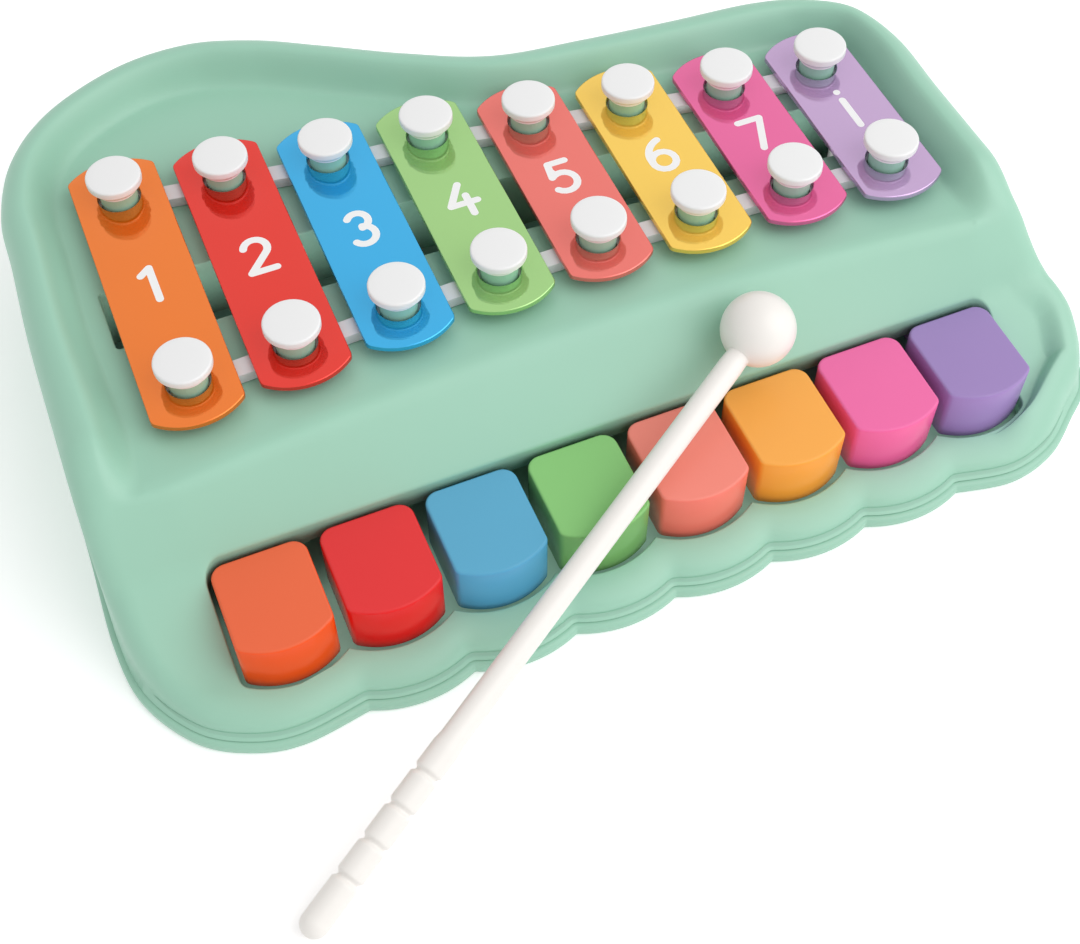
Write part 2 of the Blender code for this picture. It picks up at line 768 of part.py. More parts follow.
def screw_places():
    places = []
    for x_share, y_share in SCREW_SHARES:
        reach = BACK_REACH if y_share > 0 else FRONT_REACH
        places.append((x_share * BODY_HALF, y_share * reach))
    return places


# Sub-parts


def shell_posts_and_bosses():
    bm = bmesh.new()
    for note in range(1, NOTES + 1):
        for place_xy in post_places(note):
            post = circle(POST_RADIUS, POST_SIDES, place_xy)
            add_prism(bm, post, TRAY_HEIGHT - SHELL_SKIN / 2, POST_TOP)
    for x, y in screw_places():
        boss = circle(BOSS_RADIUS, BOSS_SIDES, (x, y))
        add_prism(bm, boss, BOSS_FOOT, floor_height(x, y) - SHELL_SKIN / 2)
    return bm


def shell_openings():
    bm = bmesh.new()
    add_prism(bm, well_outline(), SHELL_FOOT - OVERRUN, TRAY_HEIGHT + OVERRUN)
    add_prism(bm, slot_outline(), TRAY_HEIGHT - SHELL_SKIN - OVERRUN, TRAY_HEIGHT + OVERRUN)
    for note in range(1, NOTES + 1):
        for place_xy in post_places(note):
            bore = bore_circle(CAP_STEM_RADIUS + PRESS_GAP, BORE_SIDES, place_xy)
            add_prism(bm, bore, POST_TOP - CAP_STEM_LENGTH - POST_BORE_SPARE, POST_TOP + OVERRUN)
    for place_xy in screw_places():
        bore = bore_circle(BOSS_BORE_RADIUS, BORE_SIDES, place_xy)
        add_prism(bm, bore, BOSS_FOOT - OVERRUN, BOSS_FOOT + SCREW_LENGTH)
    return bm


def combine(body, steps):
    """One mesh: the body after each step, which joins a solid to it or cuts one from it."""
    base = helper("Body", body)
    helpers = []
    for bm, operation in steps:
        other = helper("Helper " + str(len(helpers) + 1), bm)
        boolean(base, other, operation)
        helpers.append(other)
    mesh = finished_mesh(base, "Combined")
    remove(base, *helpers)
    return mesh


def build_upper_shell(finish):
    body = shell_body(0, 0, OUTER_EDGE_ANGLES, SHELL_FOOT)
    room = shell_body(SHELL_WALL, SHELL_SKIN, INNER_EDGE_ANGLES, SHELL_FOOT - OVERRUN)
    mesh = combine(
        body,
        [(room, "DIFFERENCE"), (shell_posts_and_bosses(), "UNION"), (shell_openings(), "DIFFERENCE")],
    )
    return place("upper_shell", mesh, finish)


def base_body():
    points = outline_points()
    normals = inward_normals(points)
    rings = [
        flat_ring(points, normals, 0, 0),
        flat_ring(points, normals, 0, BASE_EDGE - BASE_CHAMFER),
        flat_ring(points, normals, BASE_CHAMFER, BASE_EDGE),
        flat_ring(points, normals, BASE_BORDER, BASE_EDGE),
        flat_ring(points, normals, BASE_BORDER, BASE_FLOOR),
    ]
    bm = bmesh.new()
    add_rings(bm, rings)
    bmesh.ops.triangulate(bm, faces=bm.faces)
    return bm


def rib_places():
    return [key_x(note) - KEY_PITCH / 2 for note in range(1, NOTES + 2)]


def base_ribs_and_cups():
    bm = bmesh.new()
    half = AXLE_RIB_THICK / 2
    for x in rib_places():
        low = (x - half, AXLE_Y - AXLE_RIB_LENGTH / 2, BASE_FLOOR / 2)
        high = (x + half, AXLE_Y + AXLE_RIB_LENGTH / 2, AXLE_HEIGHT + AXLE_RIB_CREST)
        add_box(bm, low, high)
    reach = ROW_HALF * max(BAR_PITCH, KEY_PITCH) + abs(KEY_ROW_SHIFT) + LEVER_WIDTH / 2
    low = (-reach, REST_RIB_Y - REST_RIB_WIDTH / 2, BASE_FLOOR / 2)
    high = (reach, REST_RIB_Y + REST_RIB_WIDTH / 2, LEVER_BOTTOM - SEAT_GAP)
    add_box(bm, low, high)
    for place_xy in screw_places():
        cup = circle(SCREW_CUP_RADIUS + SCREW_CUP_WALL, BOSS_SIDES, place_xy)
        add_prism(bm, cup, BASE_FLOOR / 2, SCREW_CUP_DEPTH + SCREW_CUP_ROOF)
    return bm


def base_bores():
    bm = bmesh.new()
    for x in rib_places():
        add_rod(bm, x, AXLE_RIB_THICK + OVERRUN, AXLE_BORE_RADIUS)
    for place_xy in screw_places():
        profile = [
            (0, -OVERRUN),
            (SCREW_CUP_RADIUS, -OVERRUN),
            (SCREW_CUP_RADIUS, SCREW_CUP_DEPTH),
            (SCREW_HOLE_RADIUS, SCREW_CUP_DEPTH),
            (SCREW_HOLE_RADIUS, SCREW_CUP_DEPTH + SCREW_CUP_ROOF + OVERRUN),
            (0, SCREW_CUP_DEPTH + SCREW_CUP_ROOF + OVERRUN),
        ]
        add_turned(bm, profile, BOSS_SIDES, place_xy)
    return bm


def add_rod(bm, x, length, radius):
    """Adds a round rod along the axle's line, with its middle at x."""
    matrix = Matrix.Translation((x, AXLE_Y, AXLE_HEIGHT)) @ Matrix.Rotation(math.pi / 2, 4, "Y")
    bmesh.ops.create_cone(
        bm,
        cap_ends=True,
        segments=AXLE_SIDES,
        radius1=radius,
        radius2=radius,
        depth=length,
        matrix=matrix,
    )


def build_base_plate(finish):
    mesh = combine(base_body(), [(base_ribs_and_cups(), "UNION"), (base_bores(), "DIFFERENCE")])
    return place("base_plate", mesh, finish)


def build_bar(note, finish):
    front, back = bar_ends(note)
    half = BAR_WIDTH / 2
    outline = shallow_arc((-half, front), (half, front), BAR_END_BULGE, BAR_ARC_STEPS)
    outline += shallow_arc((half, back), (-half, back), BAR_END_BULGE, BAR_ARC_STEPS)
    outline = round_corners(outline, BAR_CORNER_RADIUS, BAR_CORNER_STEPS)
    normals = inward_normals(outline)
    rings = [
        flat_ring(outline, normals, 0, BAR_BOTTOM),
        flat_ring(outline, normals, 0, BAR_TOP - BAR_EDGE_ROUND),
        flat_ring(outline, normals, BAR_EDGE_ROUND, BAR_TOP),
    ]
    body = bmesh.new()
    add_rings(body, rings)
    cut = bmesh.new()
    for _, y in post_places(note):
        profile = [
            (0, BAR_BOTTOM - OVERRUN),
            (BAR_HOLE_RADIUS, BAR_BOTTOM - OVERRUN),
            (BAR_HOLE_RADIUS, BAR_TOP + OVERRUN),
            (0, BAR_TOP + OVERRUN),
        ]
        add_turned(cut, profile, BAR_HOLE_SIDES, (0, y))
    mesh = combine(body, [(cut, "DIFFERENCE")])
    return place("bar_" + str(note), mesh, finish, (bar_x(note), 0, 0))


def post_cap_mesh():
    low = POST_TOP + SEAT_GAP
    flare = low + CAP_COLLAR_HEIGHT
    edge = flare + CAP_FLARE_HEIGHT
    top = edge + CAP_EDGE_HEIGHT
    profile = [
        (0, low - CAP_STEM_LENGTH),
        (CAP_STEM_RADIUS, low - CAP_STEM_LENGTH),
        (CAP_STEM_RADIUS, low),
        (CAP_COLLAR_RADIUS, low),
        (CAP_COLLAR_RADIUS, flare),
        (CAP_RADIUS, edge),
        (CAP_RADIUS, top - CAP_EDGE_ROUND),
        (CAP_RADIUS - CAP_EDGE_ROUND, top),
        (0, top + CAP_DOME),
    ]
    bm = bmesh.new()
    add_turned(bm, profile, CAP_SIDES)
    return mesh_from(bm, "Post cap")


def rail_pieces(places):
    """The strips between the posts and the eyes round them, as separate solids to join."""
    strips = bmesh.new()
    low = TRAY_HEIGHT + SEAT_GAP
    high = low + RAIL_THICK
    for one, two in zip(places, places[1:]):
        start, end = Vector(one), Vector(two)
        along = (end - start).normalized()
        side = Vector((-along.y, along.x)) * RAIL_WIDTH / 2
        start = start + along * (POST_RADIUS + RAIL_EYE_WALL / 2)
        end = end - along * (POST_RADIUS + RAIL_EYE_WALL / 2)
        corners = [start - side, end - side, end + side, start + side]
        add_prism(strips, [tuple(corner) for corner in corners], low, high)
    return strips


def build_rail(name, places, finish):
    low = TRAY_HEIGHT + SEAT_GAP
    high = low + RAIL_THICK
    eyes = bmesh.new()
    holes = bmesh.new()
    for place_xy in places:
        outer = circle(POST_RADIUS + SEAT_GAP + RAIL_EYE_WALL, POST_SIDES, place_xy)
        add_prism(eyes, outer, low, high)
        hole = circle(POST_RADIUS + SEAT_GAP, POST_SIDES, place_xy)
        add_prism(holes, hole, low - OVERRUN, high + OVERRUN)
    mesh = combine(rail_pieces(places), [(eyes, "UNION"), (holes, "DIFFERENCE")])
    return place(name, mesh, finish)


def key_cap_body():
    points = key_outline()
    normals = inward_normals(points)
    rings = [
        flat_ring(points, normals, 0, KEY_SKIRT_HEIGHT),
        flat_ring(points, normals, 0, KEY_TOP_HEIGHT - KEY_EDGE_ROUND),
    ]
    for degrees in (45, 90):
        angle = math.radians(degrees)
        way = KEY_EDGE_ROUND * (1 - math.cos(angle))
        height = KEY_TOP_HEIGHT - KEY_EDGE_ROUND * (1 - math.sin(angle))
        rings.append(flat_ring(points, normals, way, height))
    bm = bmesh.new()
    add_rings(bm, rings)
    return bm


def strike_place(note):
    """The middle of a hammer: across from its key's centre line, and along the slot."""
    return bar_x(note) - key_x(note), hammer_y(note)


def lever_outline(note):
    """A lever's plan about its key's centre line: straight under the key, then led to its hammer."""
    half = LEVER_WIDTH / 2
    front = KEY_BACK_Y - KEY_SIDE_LENGTH * LEVER_REACH_SHARE
    bend = AXLE_Y + AXLE_RIB_LENGTH / 2
    aside, strike = strike_place(note)
    back = strike + LEVER_TAIL
    right = [(half, front), (half, bend), (aside + half, strike), (aside + half, back)]
    left = [(aside - half, back), (aside - half, strike), (-half, bend), (-half, front)]
    return right + left


def key_mesh(note):
    """A key moulded in one piece with its lever, about the middle of its axle bore."""
    room = bmesh.new()
    add_prism(room, key_outline(-KEY_WALL), KEY_SKIRT_HEIGHT - OVERRUN, KEY_TOP_HEIGHT - KEY_WALL)
    lever = bmesh.new()
    outline = lever_outline(note)
    add_prism(lever, outline, LEVER_BOTTOM, LEVER_TOP)
    web = bmesh.new()
    front = outline[0][1]
    back = KEY_BACK_Y - KEY_WALL / 2
    add_box(web, (-KEY_WALL / 2, front, AXLE_HEIGHT), (KEY_WALL / 2, back, KEY_WEB_TOP))
    barrel = bmesh.new()
    add_rod(barrel, 0, BARREL_LENGTH, AXLE_BARREL_RADIUS)
    bores = bmesh.new()
    add_rod(bores, 0, BARREL_LENGTH + OVERRUN, AXLE_BORE_RADIUS)
    peg_bore = bore_circle(HAMMER_PEG_RADIUS + PRESS_GAP, BORE_SIDES, strike_place(note))
    add_prism(bores, peg_bore, LEVER_BOTTOM - OVERRUN, LEVER_TOP + OVERRUN)
    joined = [(solid, "UNION") for solid in (lever, web, barrel)]
    mesh = combine(key_cap_body(), [(room, "DIFFERENCE"), *joined, (bores, "DIFFERENCE")])
    mesh.transform(Matrix.Translation((0, -AXLE_Y, -AXLE_HEIGHT)))
    return mesh


def hammer_mesh(note):
    """A hammer: a peg in the lever, a stem and a head, about the middle of the lever's axle bore."""
    foot = LEVER_TOP + SEAT_GAP
    top = hammer_top(note)
    neck = top - HAMMER_HEAD_HEIGHT
    profile = [
        (0, foot - HAMMER_PEG_LENGTH),
        (HAMMER_PEG_RADIUS, foot - HAMMER_PEG_LENGTH),
        (HAMMER_PEG_RADIUS, foot),
        (HAMMER_STEM / 2, foot),
        (HAMMER_STEM / 2, neck - HAMMER_HEAD_FLARE),
        (HAMMER_HEAD_RADIUS, neck),
        (HAMMER_HEAD_RADIUS, top - HAMMER_HEAD_ROUND),
        (HAMMER_HEAD_RADIUS - HAMMER_HEAD_ROUND, top),
        (0, top),
    ]
    bm = bmesh.new()
    add_turned(bm, profile, AXLE_SIDES, strike_place(note))
    bmesh.ops.translate(bm, verts=bm.verts, vec=(0, -AXLE_Y, -AXLE_HEIGHT))
    return mesh_from(bm, "Hammer")


def build_axle(finish):
    bm = bmesh.new()
    length = NOTES * KEY_PITCH + 2 * AXLE_RIB_THICK
    add_rod(bm, 0, length, AXLE_RADIUS)
    bmesh.ops.translate(bm, verts=bm.verts, vec=(0, -AXLE_Y, -AXLE_HEIGHT))
    mesh = mesh_from(bm, "Key axle")
    return place("key_axle", mesh, finish, (KEY_ROW_SHIFT, AXLE_Y, AXLE_HEIGHT))


def screw_mesh():
    """A screw about the middle of its head's underside, which looks down."""
    profile = [
        (0, 0),
        (SCREW_HEAD_RADIUS, 0),
        (SCREW_HEAD_RADIUS, SCREW_HEAD_HEIGHT),
        (SCREW_RADIUS, SCREW_HEAD_HEIGHT),
        (SCREW_RADIUS, SCREW_HEAD_HEIGHT + SCREW_LENGTH - SCREW_TIP),
        (0, SCREW_HEAD_HEIGHT + SCREW_LENGTH),
    ]
    body = bmesh.new()
    add_turned(body, profile, AXLE_SIDES)
    cross = []
    for turn in range(2):
        slot = bmesh.new()
        reach = SCREW_HEAD_RADIUS * SCREW_SLOT_SHARE
        sizes = (reach, SCREW_SLOT_WIDTH / 2) if turn else (SCREW_SLOT_WIDTH / 2, reach)
        add_box(slot, (-sizes[0], -sizes[1], -OVERRUN), (sizes[0], sizes[1], SCREW_SLOT_DEPTH))
        cross.append((slot, "DIFFERENCE"))
    return combine(body, cross)


def mallet_is_clear(tilt):
    """Whether the mallet, leaning at this tilt, stays clear of the deck and of the keys."""
    end_y = LOBE_FRONT_Y - MALLET_END_AHEAD
    end_z = MALLET_GRIP_RADIUS + SEAT_GAP
    run = MALLET_LENGTH * math.cos(tilt)
    head = Vector((end_y + run * math.sin(MALLET_HEADING), end_z + MALLET_LENGTH * math.sin(tilt)))
    head_x = run * math.cos(MALLET_HEADING) - MALLET_END_SIDE
    profile = [Vector((BACK_REACH, TRAY_HEIGHT))]
    for line in deck_lines()[:SLOPE_STEPS + 1]:
        y = bent(head_x, line)
        profile.append(Vector((y, floor_height(head_x, y))))
    profile += [Vector((KEY_BACK_Y, KEY_TOP_HEIGHT)), Vector((KEY_FRONT_Y, KEY_TOP_HEIGHT))]
    for one, two in zip(profile, profile[1:]):
        share = max(0.0, min(1.0, (head - one).dot(two - one) / (two - one).length_squared))
        if (one + (two - one) * share - head).length < MALLET_HEAD_RADIUS + SEAT_GAP:
            return False
    slope = math.tan(tilt) / math.sin(MALLET_HEADING)
    over_key = end_z + (KEY_FRONT_Y - end_y) * slope
    return over_key - MALLET_STICK_RADIUS / math.cos(tilt) > KEY_TOP_HEIGHT + SEAT_GAP


def mallet_tilt():
    low, high = 0.0, MALLET_STEEPEST
    for _ in range(MALLET_TILT_STEPS):
        middle = (low + high) / 2
        if mallet_is_clear(middle):
            high = middle
        else:
            low = middle
    return high


def mallet_pose():
    """Where the mallet's rounded grip end is, and how the mallet lies: its own +X runs to the head."""
    end = (-MALLET_END_SIDE, LOBE_FRONT_Y - MALLET_END_AHEAD, MALLET_GRIP_RADIUS + SEAT_GAP)
    turn = Matrix.Rotation(MALLET_HEADING, 4, "Z") @ Matrix.Rotation(-mallet_tilt(), 4, "Y")
    return Matrix.Translation(end) @ turn


def lathe_along_x(bm, profile, sides):
    add_turned(bm, profile, sides)
    bmesh.ops.rotate(bm, verts=bm.verts, cent=(0, 0, 0), matrix=Matrix.Rotation(math.pi / 2, 3, "Y"))


def rounded_end(radius, start, steps):
    """A round end from the axis outwards; it closes a profile that goes on from (radius, start)."""
    return [
        (radius * math.sin(math.pi / 2 * i / steps), start - radius * math.cos(math.pi / 2 * i / steps))
        for i in range(steps + 1)
    ]


def build_mallet_stick(finish):
    profile = rounded_end(MALLET_GRIP_RADIUS, 0, MALLET_END_STEPS)
    pitch = MALLET_GRIP_LENGTH / (MALLET_GROOVES + 1)
    for groove in range(MALLET_GROOVES):
        middle = pitch * (groove + MALLET_GROOVE_START)
        profile.append((MALLET_GRIP_RADIUS, middle - MALLET_GROOVE_WIDTH / 2))
        profile.append((MALLET_GRIP_RADIUS - MALLET_GROOVE_DEPTH, middle))
        profile.append((MALLET_GRIP_RADIUS, middle + MALLET_GROOVE_WIDTH / 2))
    profile.append((MALLET_STICK_RADIUS, MALLET_GRIP_LENGTH + MALLET_GROOVE_WIDTH))
    neck = MALLET_LENGTH - MALLET_HEAD_RADIUS - SEAT_GAP
    profile.append((MALLET_STICK_RADIUS, neck - MALLET_GROOVE_WIDTH))
    profile.append((MALLET_NECK_RADIUS, neck))
    tip = MALLET_LENGTH + MALLET_TENON
    profile += [(MALLET_NECK_RADIUS, tip), (0, tip)]
    bm = bmesh.new()
    lathe_along_x(bm, profile, MALLET_SIDES)
    obj = place("mallet_stick", mesh_from(bm, "Mallet stick"), finish)
    obj.matrix_world = mallet_pose()
    return obj


def build_mallet_head(finish):
    steps = MALLET_HEAD_STEPS
    mouth = math.asin((MALLET_NECK_RADIUS + SEAT_GAP) / MALLET_HEAD_RADIUS)
    profile = [
        (0, MALLET_TENON + SEAT_GAP),
        (MALLET_NECK_RADIUS + SEAT_GAP, MALLET_TENON + SEAT_GAP),
    ]
    for i in range(steps + 1):
        angle = mouth + (math.pi - mouth) * i / steps
        profile.append((MALLET_HEAD_RADIUS * math.sin(angle), -MALLET_HEAD_RADIUS * math.cos(angle)))
    profile[-1] = (0, MALLET_HEAD_RADIUS)
    bm = bmesh.new()
    lathe_along_x(bm, profile, MALLET_HEAD_SIDES)
    obj = place("mallet_head", mesh_from(bm, "Mallet head"), finish)
    obj.matrix_world = mallet_pose() @ Matrix.Translation((MALLET_LENGTH, 0, 0))
    return obj


def build_post_caps(finish):
    mesh = post_cap_mesh()
    for note in range(1, NOTES + 1):
        front, back = post_places(note)
        place("cap_front_" + str(note), mesh, finish, (*front, 0))
        place("cap_back_" + str(note), mesh, finish, (*back, 0))


def build_keys(finishes, hammer_look):
    for note in range(1, NOTES + 1):
        on_axle = (key_x(note), AXLE_Y, AXLE_HEIGHT)
        place("key_" + str(note), key_mesh(note), finishes[note - 1], on_axle)
        place("hammer_" + str(note), hammer_mesh(note), hammer_look, on_axle)


def build_screws(finish):
    mesh = screw_mesh()
    height = SCREW_CUP_DEPTH - SEAT_GAP - SCREW_HEAD_HEIGHT
    for i, place_xy in enumerate(screw_places()):
        place("base_screw_" + str(i + 1), mesh, finish, (*place_xy, height))


def shell_finish():
    return material("Mint shell plastic", MINT, 0.32)


def base_finish():
    return material("Mint base plastic", MINT, 0.36)


def bar_finish(note):
    return material("Bar " + str(note) + " paint", BAR_COLORS[note - 1], 0.3)


def key_finish(note):
    return material("Key " + str(note) + " plastic", KEY_COLORS[note - 1], 0.28)


def cap_finish():
    return material("White cap plastic", WHITE, 0.35)


def rail_finish():
    return material("Light grey rail plastic", RAIL_GREY, 0.5)


def hammer_finish():
    return material("White hammer plastic", WHITE, 0.45)


def steel_finish():
    return material("Steel", STEEL, 0.3, 1.0)


def mallet_finish():
    return material("Warm white mallet plastic", WARM_WHITE, 0.35)


def main():
    clear_scene()
    build_upper_shell(shell_finish())
    build_base_plate(base_finish())
    for note in range(1, NOTES + 1):
        build_bar(note, bar_finish(note))
    build_rail("rail_front", [post_places(note)[0] for note in range(1, NOTES + 1)], rail_finish())
    build_rail("rail_back", [post_places(note)[1] for note in range(1, NOTES + 1)], rail_finish())
    build_post_caps(cap_finish())
    build_keys([key_finish(note) for note in range(1, NOTES + 1)], hammer_finish())
    build_axle(steel_finish())
    build_screws(steel_finish())
    build_mallet_stick(mallet_finish())
    build_mallet_head(mallet_finish())


main()
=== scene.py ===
"""The looks of the toy piano: fine meshes, materials, light and the camera at the photograph's angle.

Lengths are in metres. +X points to the high notes, +Y to the back, +Z up, and the toy stands on z = 0.
"""

import json
import math

import bmesh
import bpy
from mathutils import Matrix, Vector
from mathutils.geometry import delaunay_2d_cdt

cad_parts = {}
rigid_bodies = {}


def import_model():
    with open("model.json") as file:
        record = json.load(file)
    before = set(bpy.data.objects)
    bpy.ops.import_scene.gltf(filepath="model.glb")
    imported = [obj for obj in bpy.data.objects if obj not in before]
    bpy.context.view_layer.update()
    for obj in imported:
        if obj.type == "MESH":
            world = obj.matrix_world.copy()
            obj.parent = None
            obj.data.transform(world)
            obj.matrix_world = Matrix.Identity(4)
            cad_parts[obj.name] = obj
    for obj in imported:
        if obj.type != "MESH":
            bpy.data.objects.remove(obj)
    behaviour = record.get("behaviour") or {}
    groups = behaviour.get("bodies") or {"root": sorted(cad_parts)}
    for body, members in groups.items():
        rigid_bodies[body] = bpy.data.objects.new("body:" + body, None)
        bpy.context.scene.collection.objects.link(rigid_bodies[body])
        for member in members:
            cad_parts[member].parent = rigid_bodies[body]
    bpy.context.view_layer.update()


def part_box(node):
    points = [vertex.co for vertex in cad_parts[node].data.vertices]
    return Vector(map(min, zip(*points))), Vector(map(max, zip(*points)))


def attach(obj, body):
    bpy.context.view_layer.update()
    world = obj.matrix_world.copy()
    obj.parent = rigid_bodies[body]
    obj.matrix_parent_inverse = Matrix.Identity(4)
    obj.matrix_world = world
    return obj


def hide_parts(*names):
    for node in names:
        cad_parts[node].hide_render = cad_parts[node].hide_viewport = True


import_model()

# Clearances and fineness
SEAT_GAP = 0.00025
EDGE_INSET = 0.00012
CHORD = 0.0011
SHARP_ANGLE = math.radians(42)
LEAST_CORNER = math.radians(20)
CORNER_ROOM_SHARE = 0.98
CORNER_STEPS = 6
WIDE_CORNER_STEPS = 8
MERGE_DISTANCE = 1e-7
ROUND_SIDES = 40
HOLE_SIDES = 56
FINE_ROUND_SIDES = 64

# Bars
NOTES = 8
BAR_WIDTH = 0.0223
BAR_SPACE = 0.0037
BAR_THICK = 0.0017
BAR_LONGEST = 0.080
BAR_END_BULGE = 0.0045
BAR_BACK_SHARES = (0.566, 0.522, 0.473, 0.447, 0.386, 0.336, 0.281, 0.250)
BAR_FRONT_SHARES = (0.434, 0.418, 0.399, 0.388, 0.384, 0.399, 0.410, 0.433)
BAR_HOLE_GAP = 0.0007
BAR_CORNER_RADIUS = 0.0022
BAR_EDGE_ROUND = 0.0003
BAR_END_STEPS = 28
BAR_EDGE_STEP = 0.004
HOLE_EDGE_STEPS = 3
NUMBER_HEIGHT = 0.0112
NUMBER_STROKE = 0.0019
NUMBER_ARC_STEPS = 16
STROKE_END_STEPS = 10
STROKE_CORNER_LEAST = math.radians(25)

# Posts, caps and rails
POST_INSET = 0.0087
POST_RADIUS = 0.0046
POST_RISE = 0.0028
POST_FILLET = 0.0007
POST_SINK = 0.0004
CAP_RADIUS = 0.0068
CAP_COLLAR_LIP = 0.0004
CAP_COLLAR_HEIGHT = 0.0006
CAP_FLARE_HEIGHT = 0.0018
CAP_EDGE_HEIGHT = 0.0020
CAP_EDGE_ROUND = 0.0006
CAP_DOME = 0.0002
CAP_LIP_ROUND = 0.0002
CAP_FLARE_OUT_SHARE = 0.5
CAP_FLARE_UP_SHARE = 0.42
CAP_TOP_SHARES = (0.75, 0.45, 0.2)
CAP_LIP_START = -50
CAP_LIP_STEPS = 3
CAP_ROUND_END = 84
CAP_ROUND_STEPS = 7
RAIL_THICK = 0.0028

# Keys
KEY_WIDTH = 0.023
KEY_SPACE = 0.0028
KEY_ROW_SHIFT = 0.0009
KEY_SIDE_LENGTH = 0.0229
KEY_FRONT_BULGE = 0.004
KEY_CORNER_RADIUS = 0.0038
KEY_TOP_HEIGHT = 0.0232
KEY_SKIRT_HEIGHT = 0.0072
KEY_WALL = 0.0018
KEY_EDGE_ROUND = 0.0007
KEY_FOOT_ROUND = 0.0004
KEY_FRONT_STEPS = 24
KEY_EDGE_STEP = 0.003
LEVER_WIDTH = 0.009
LEVER_THICK = 0.005
LEVER_REACH_SHARE = 0.6
LEVER_TAIL = 0.0045
AXLE_HEIGHT = 0.012
HAMMER_LEAD = 0.0012

# Body shell
BAR_SIDE_MARGIN = 0.0235
BACK_MARGIN = 0.0367
TRAY_HEIGHT = 0.0402
TRAY_FRONT_MARGIN = 0.0037
SLOPE_RUN = 0.0189
RIM_RISE = 0.0085
RIM_WIDTH = 0.0160
RIM_ROUND = 0.0075
RIM_ROUND_SHARE = 0.47
FRONT_ROUND_SHARE = 0.94
ROUND_CHANGE_SHARE = 0.84
RIM_ROUND_REACH = 0.8
RIM_ROUND_STEPS = 9
RIM_FALL_STEPS = 10
CREST_RUN = 0.016
RIDGE_RISE = 0.0045
RIDGE_REACH = 0.025
RIDGE_MIDDLE_SHARE = 0.25
CREASE_BOW = 0.0067
CREASE_SOFTNESS = 0.07
DECK_BACK_HEIGHT = 0.0250
FRONT_RIM_HEIGHT = 0.0095
FRONT_RIM_WIDTH = 0.0106
DECK_END_SLOPE = 0.15
SHELL_SKIN = 0.0020
WALL_DRAFT = 0.0013
WALL_FOOT_ROUND = 0.0004
WELL_GAP = 0.0010
WELL_CORNER_RADIUS = 0.0045
WELL_LEDGE = 0.0010
WELL_LIP = 0.0005
WELL_SKIRT = 0.0062
SKIRT_CLEARANCE = 0.0008
LIP_STEPS = 5
WELL_LOBE_STEPS = 18
SLOT_LEFT_Y = 0.0025
SLOT_RIGHT_Y = -0.0080
SLOT_BEND_SHARE = -0.2
SLOT_WIDTH = 0.0185
SLOT_END_MARGIN = 0.0016
SLOT_RIGHT_LOSS = 0.0040
SLOT_CORNER_RADIUS = 0.0012
SLOT_LIP = 0.0003
SLOT_SKIRT = 0.0185
LOBE_BULGE = 0.0028
NOTCH_ROUND = 0.0009
LATTICE_PITCH = 0.0021
LATTICE_CLEARANCE = 0.0009

# Base plate
BASE_EDGE = 0.003
BASE_FLOOR = 0.002
FLANGE_STEP = 0.0015
BASE_BORDER = 0.0050
BASE_ROUND = 0.0012
FOOT_GAP = 0.00002
AXLE_SETBACK = 0.0165
AXLE_RIB_THICK = 0.003
AXLE_RIB_LENGTH = 0.010
AXLE_RIB_CREST = 0.0035
REST_RIB_WIDTH = 0.0022
REST_RIB_Y = -0.0200
RIB_EDGE_ROUND = 0.0003
SCREW_RADIUS = 0.0013
SCREW_PLAY = 0.0005
SCREW_HEAD_RADIUS = 0.0029
SCREW_HEAD_HEIGHT = 0.0018
SCREW_CUP_WALL = 0.0016
SCREW_SINK = 0.0012
SCREW_CUP_ROOF = 0.0020
SCREW_SHARES = (
    (-0.890, -0.700), (0.903, -0.700), (-0.760, 0.640),
    (-0.300, 0.660), (0.240, 0.340), (0.780, 0.260),
)

# Mallet
MALLET_HEAD_RADIUS = 0.00915
MALLET_STICK_RADIUS = 0.0031
MALLET_NECK_RADIUS = 0.0029
MALLET_GRIP_RADIUS = 0.0034
MALLET_GRIP_LENGTH = 0.0455
MALLET_GROOVES = 4
MALLET_GROOVE_DEPTH = 0.0008
MALLET_GROOVE_WIDTH = 0.0024
MALLET_GROOVE_START = 1.21
MALLET_LENGTH = 0.1684
MALLET_STEP = 0.0002
MALLET_END_STEPS = 10
MALLET_HEAD_STEPS = 40
MALLET_STICK_SHARES = (0.25, 0.5, 0.75)
MALLET_END_SIDE = 0.1038
MALLET_END_AHEAD = 0.0406

# The body's outline in plan, from the last notch on the right round the back to the first one on the left.
# Each row is x as a share of the body's half width, y as a share of its reach to the back or the front,
# and the rim's width as a share of RIM_WIDTH.
OUTLINE_SHARES = (
    (0.743, -1.027, 0.66), (0.851, -0.992, 0.70), (0.942, -0.910, 0.76), (0.989, -0.863, 0.80),
    (1.016, -0.806, 0.90), (1.029, -0.748, 0.92), (1.033, -0.684, 0.94), (1.018, -0.617, 0.95),
    (0.989, -0.552, 1.03), (0.968, -0.478, 1.12), (0.960, -0.390, 1.14), (0.957, -0.099, 1.12),
    (0.955, 0.142, 1.02), (0.910, 0.334, 0.90), (0.814, 0.446, 0.95), (0.691, 0.507, 1.08),
    (0.492, 0.533, 1.12), (0.298, 0.560, 1.10), (0.113, 0.597, 1.06), (-0.045, 0.704, 1.03),
    (-0.200, 0.838, 1.03), (-0.332, 0.946, 1.05), (-0.478, 1.012, 1.06), (-0.646, 0.993, 1.04),
    (-0.818, 0.876, 1.03), (-0.926, 0.707, 1.03), (-0.978, 0.498, 1.05), (-0.987, 0.287, 1.07),
    (-0.998, 0.000, 1.10), (-1.003, -0.351, 1.19), (-1.009, -0.606, 1.00), (-0.990, -0.778, 0.86),
    (-0.921, -0.924, 0.76), (-0.831, -0.998, 0.70), (-0.736, -1.023, 0.66),
)

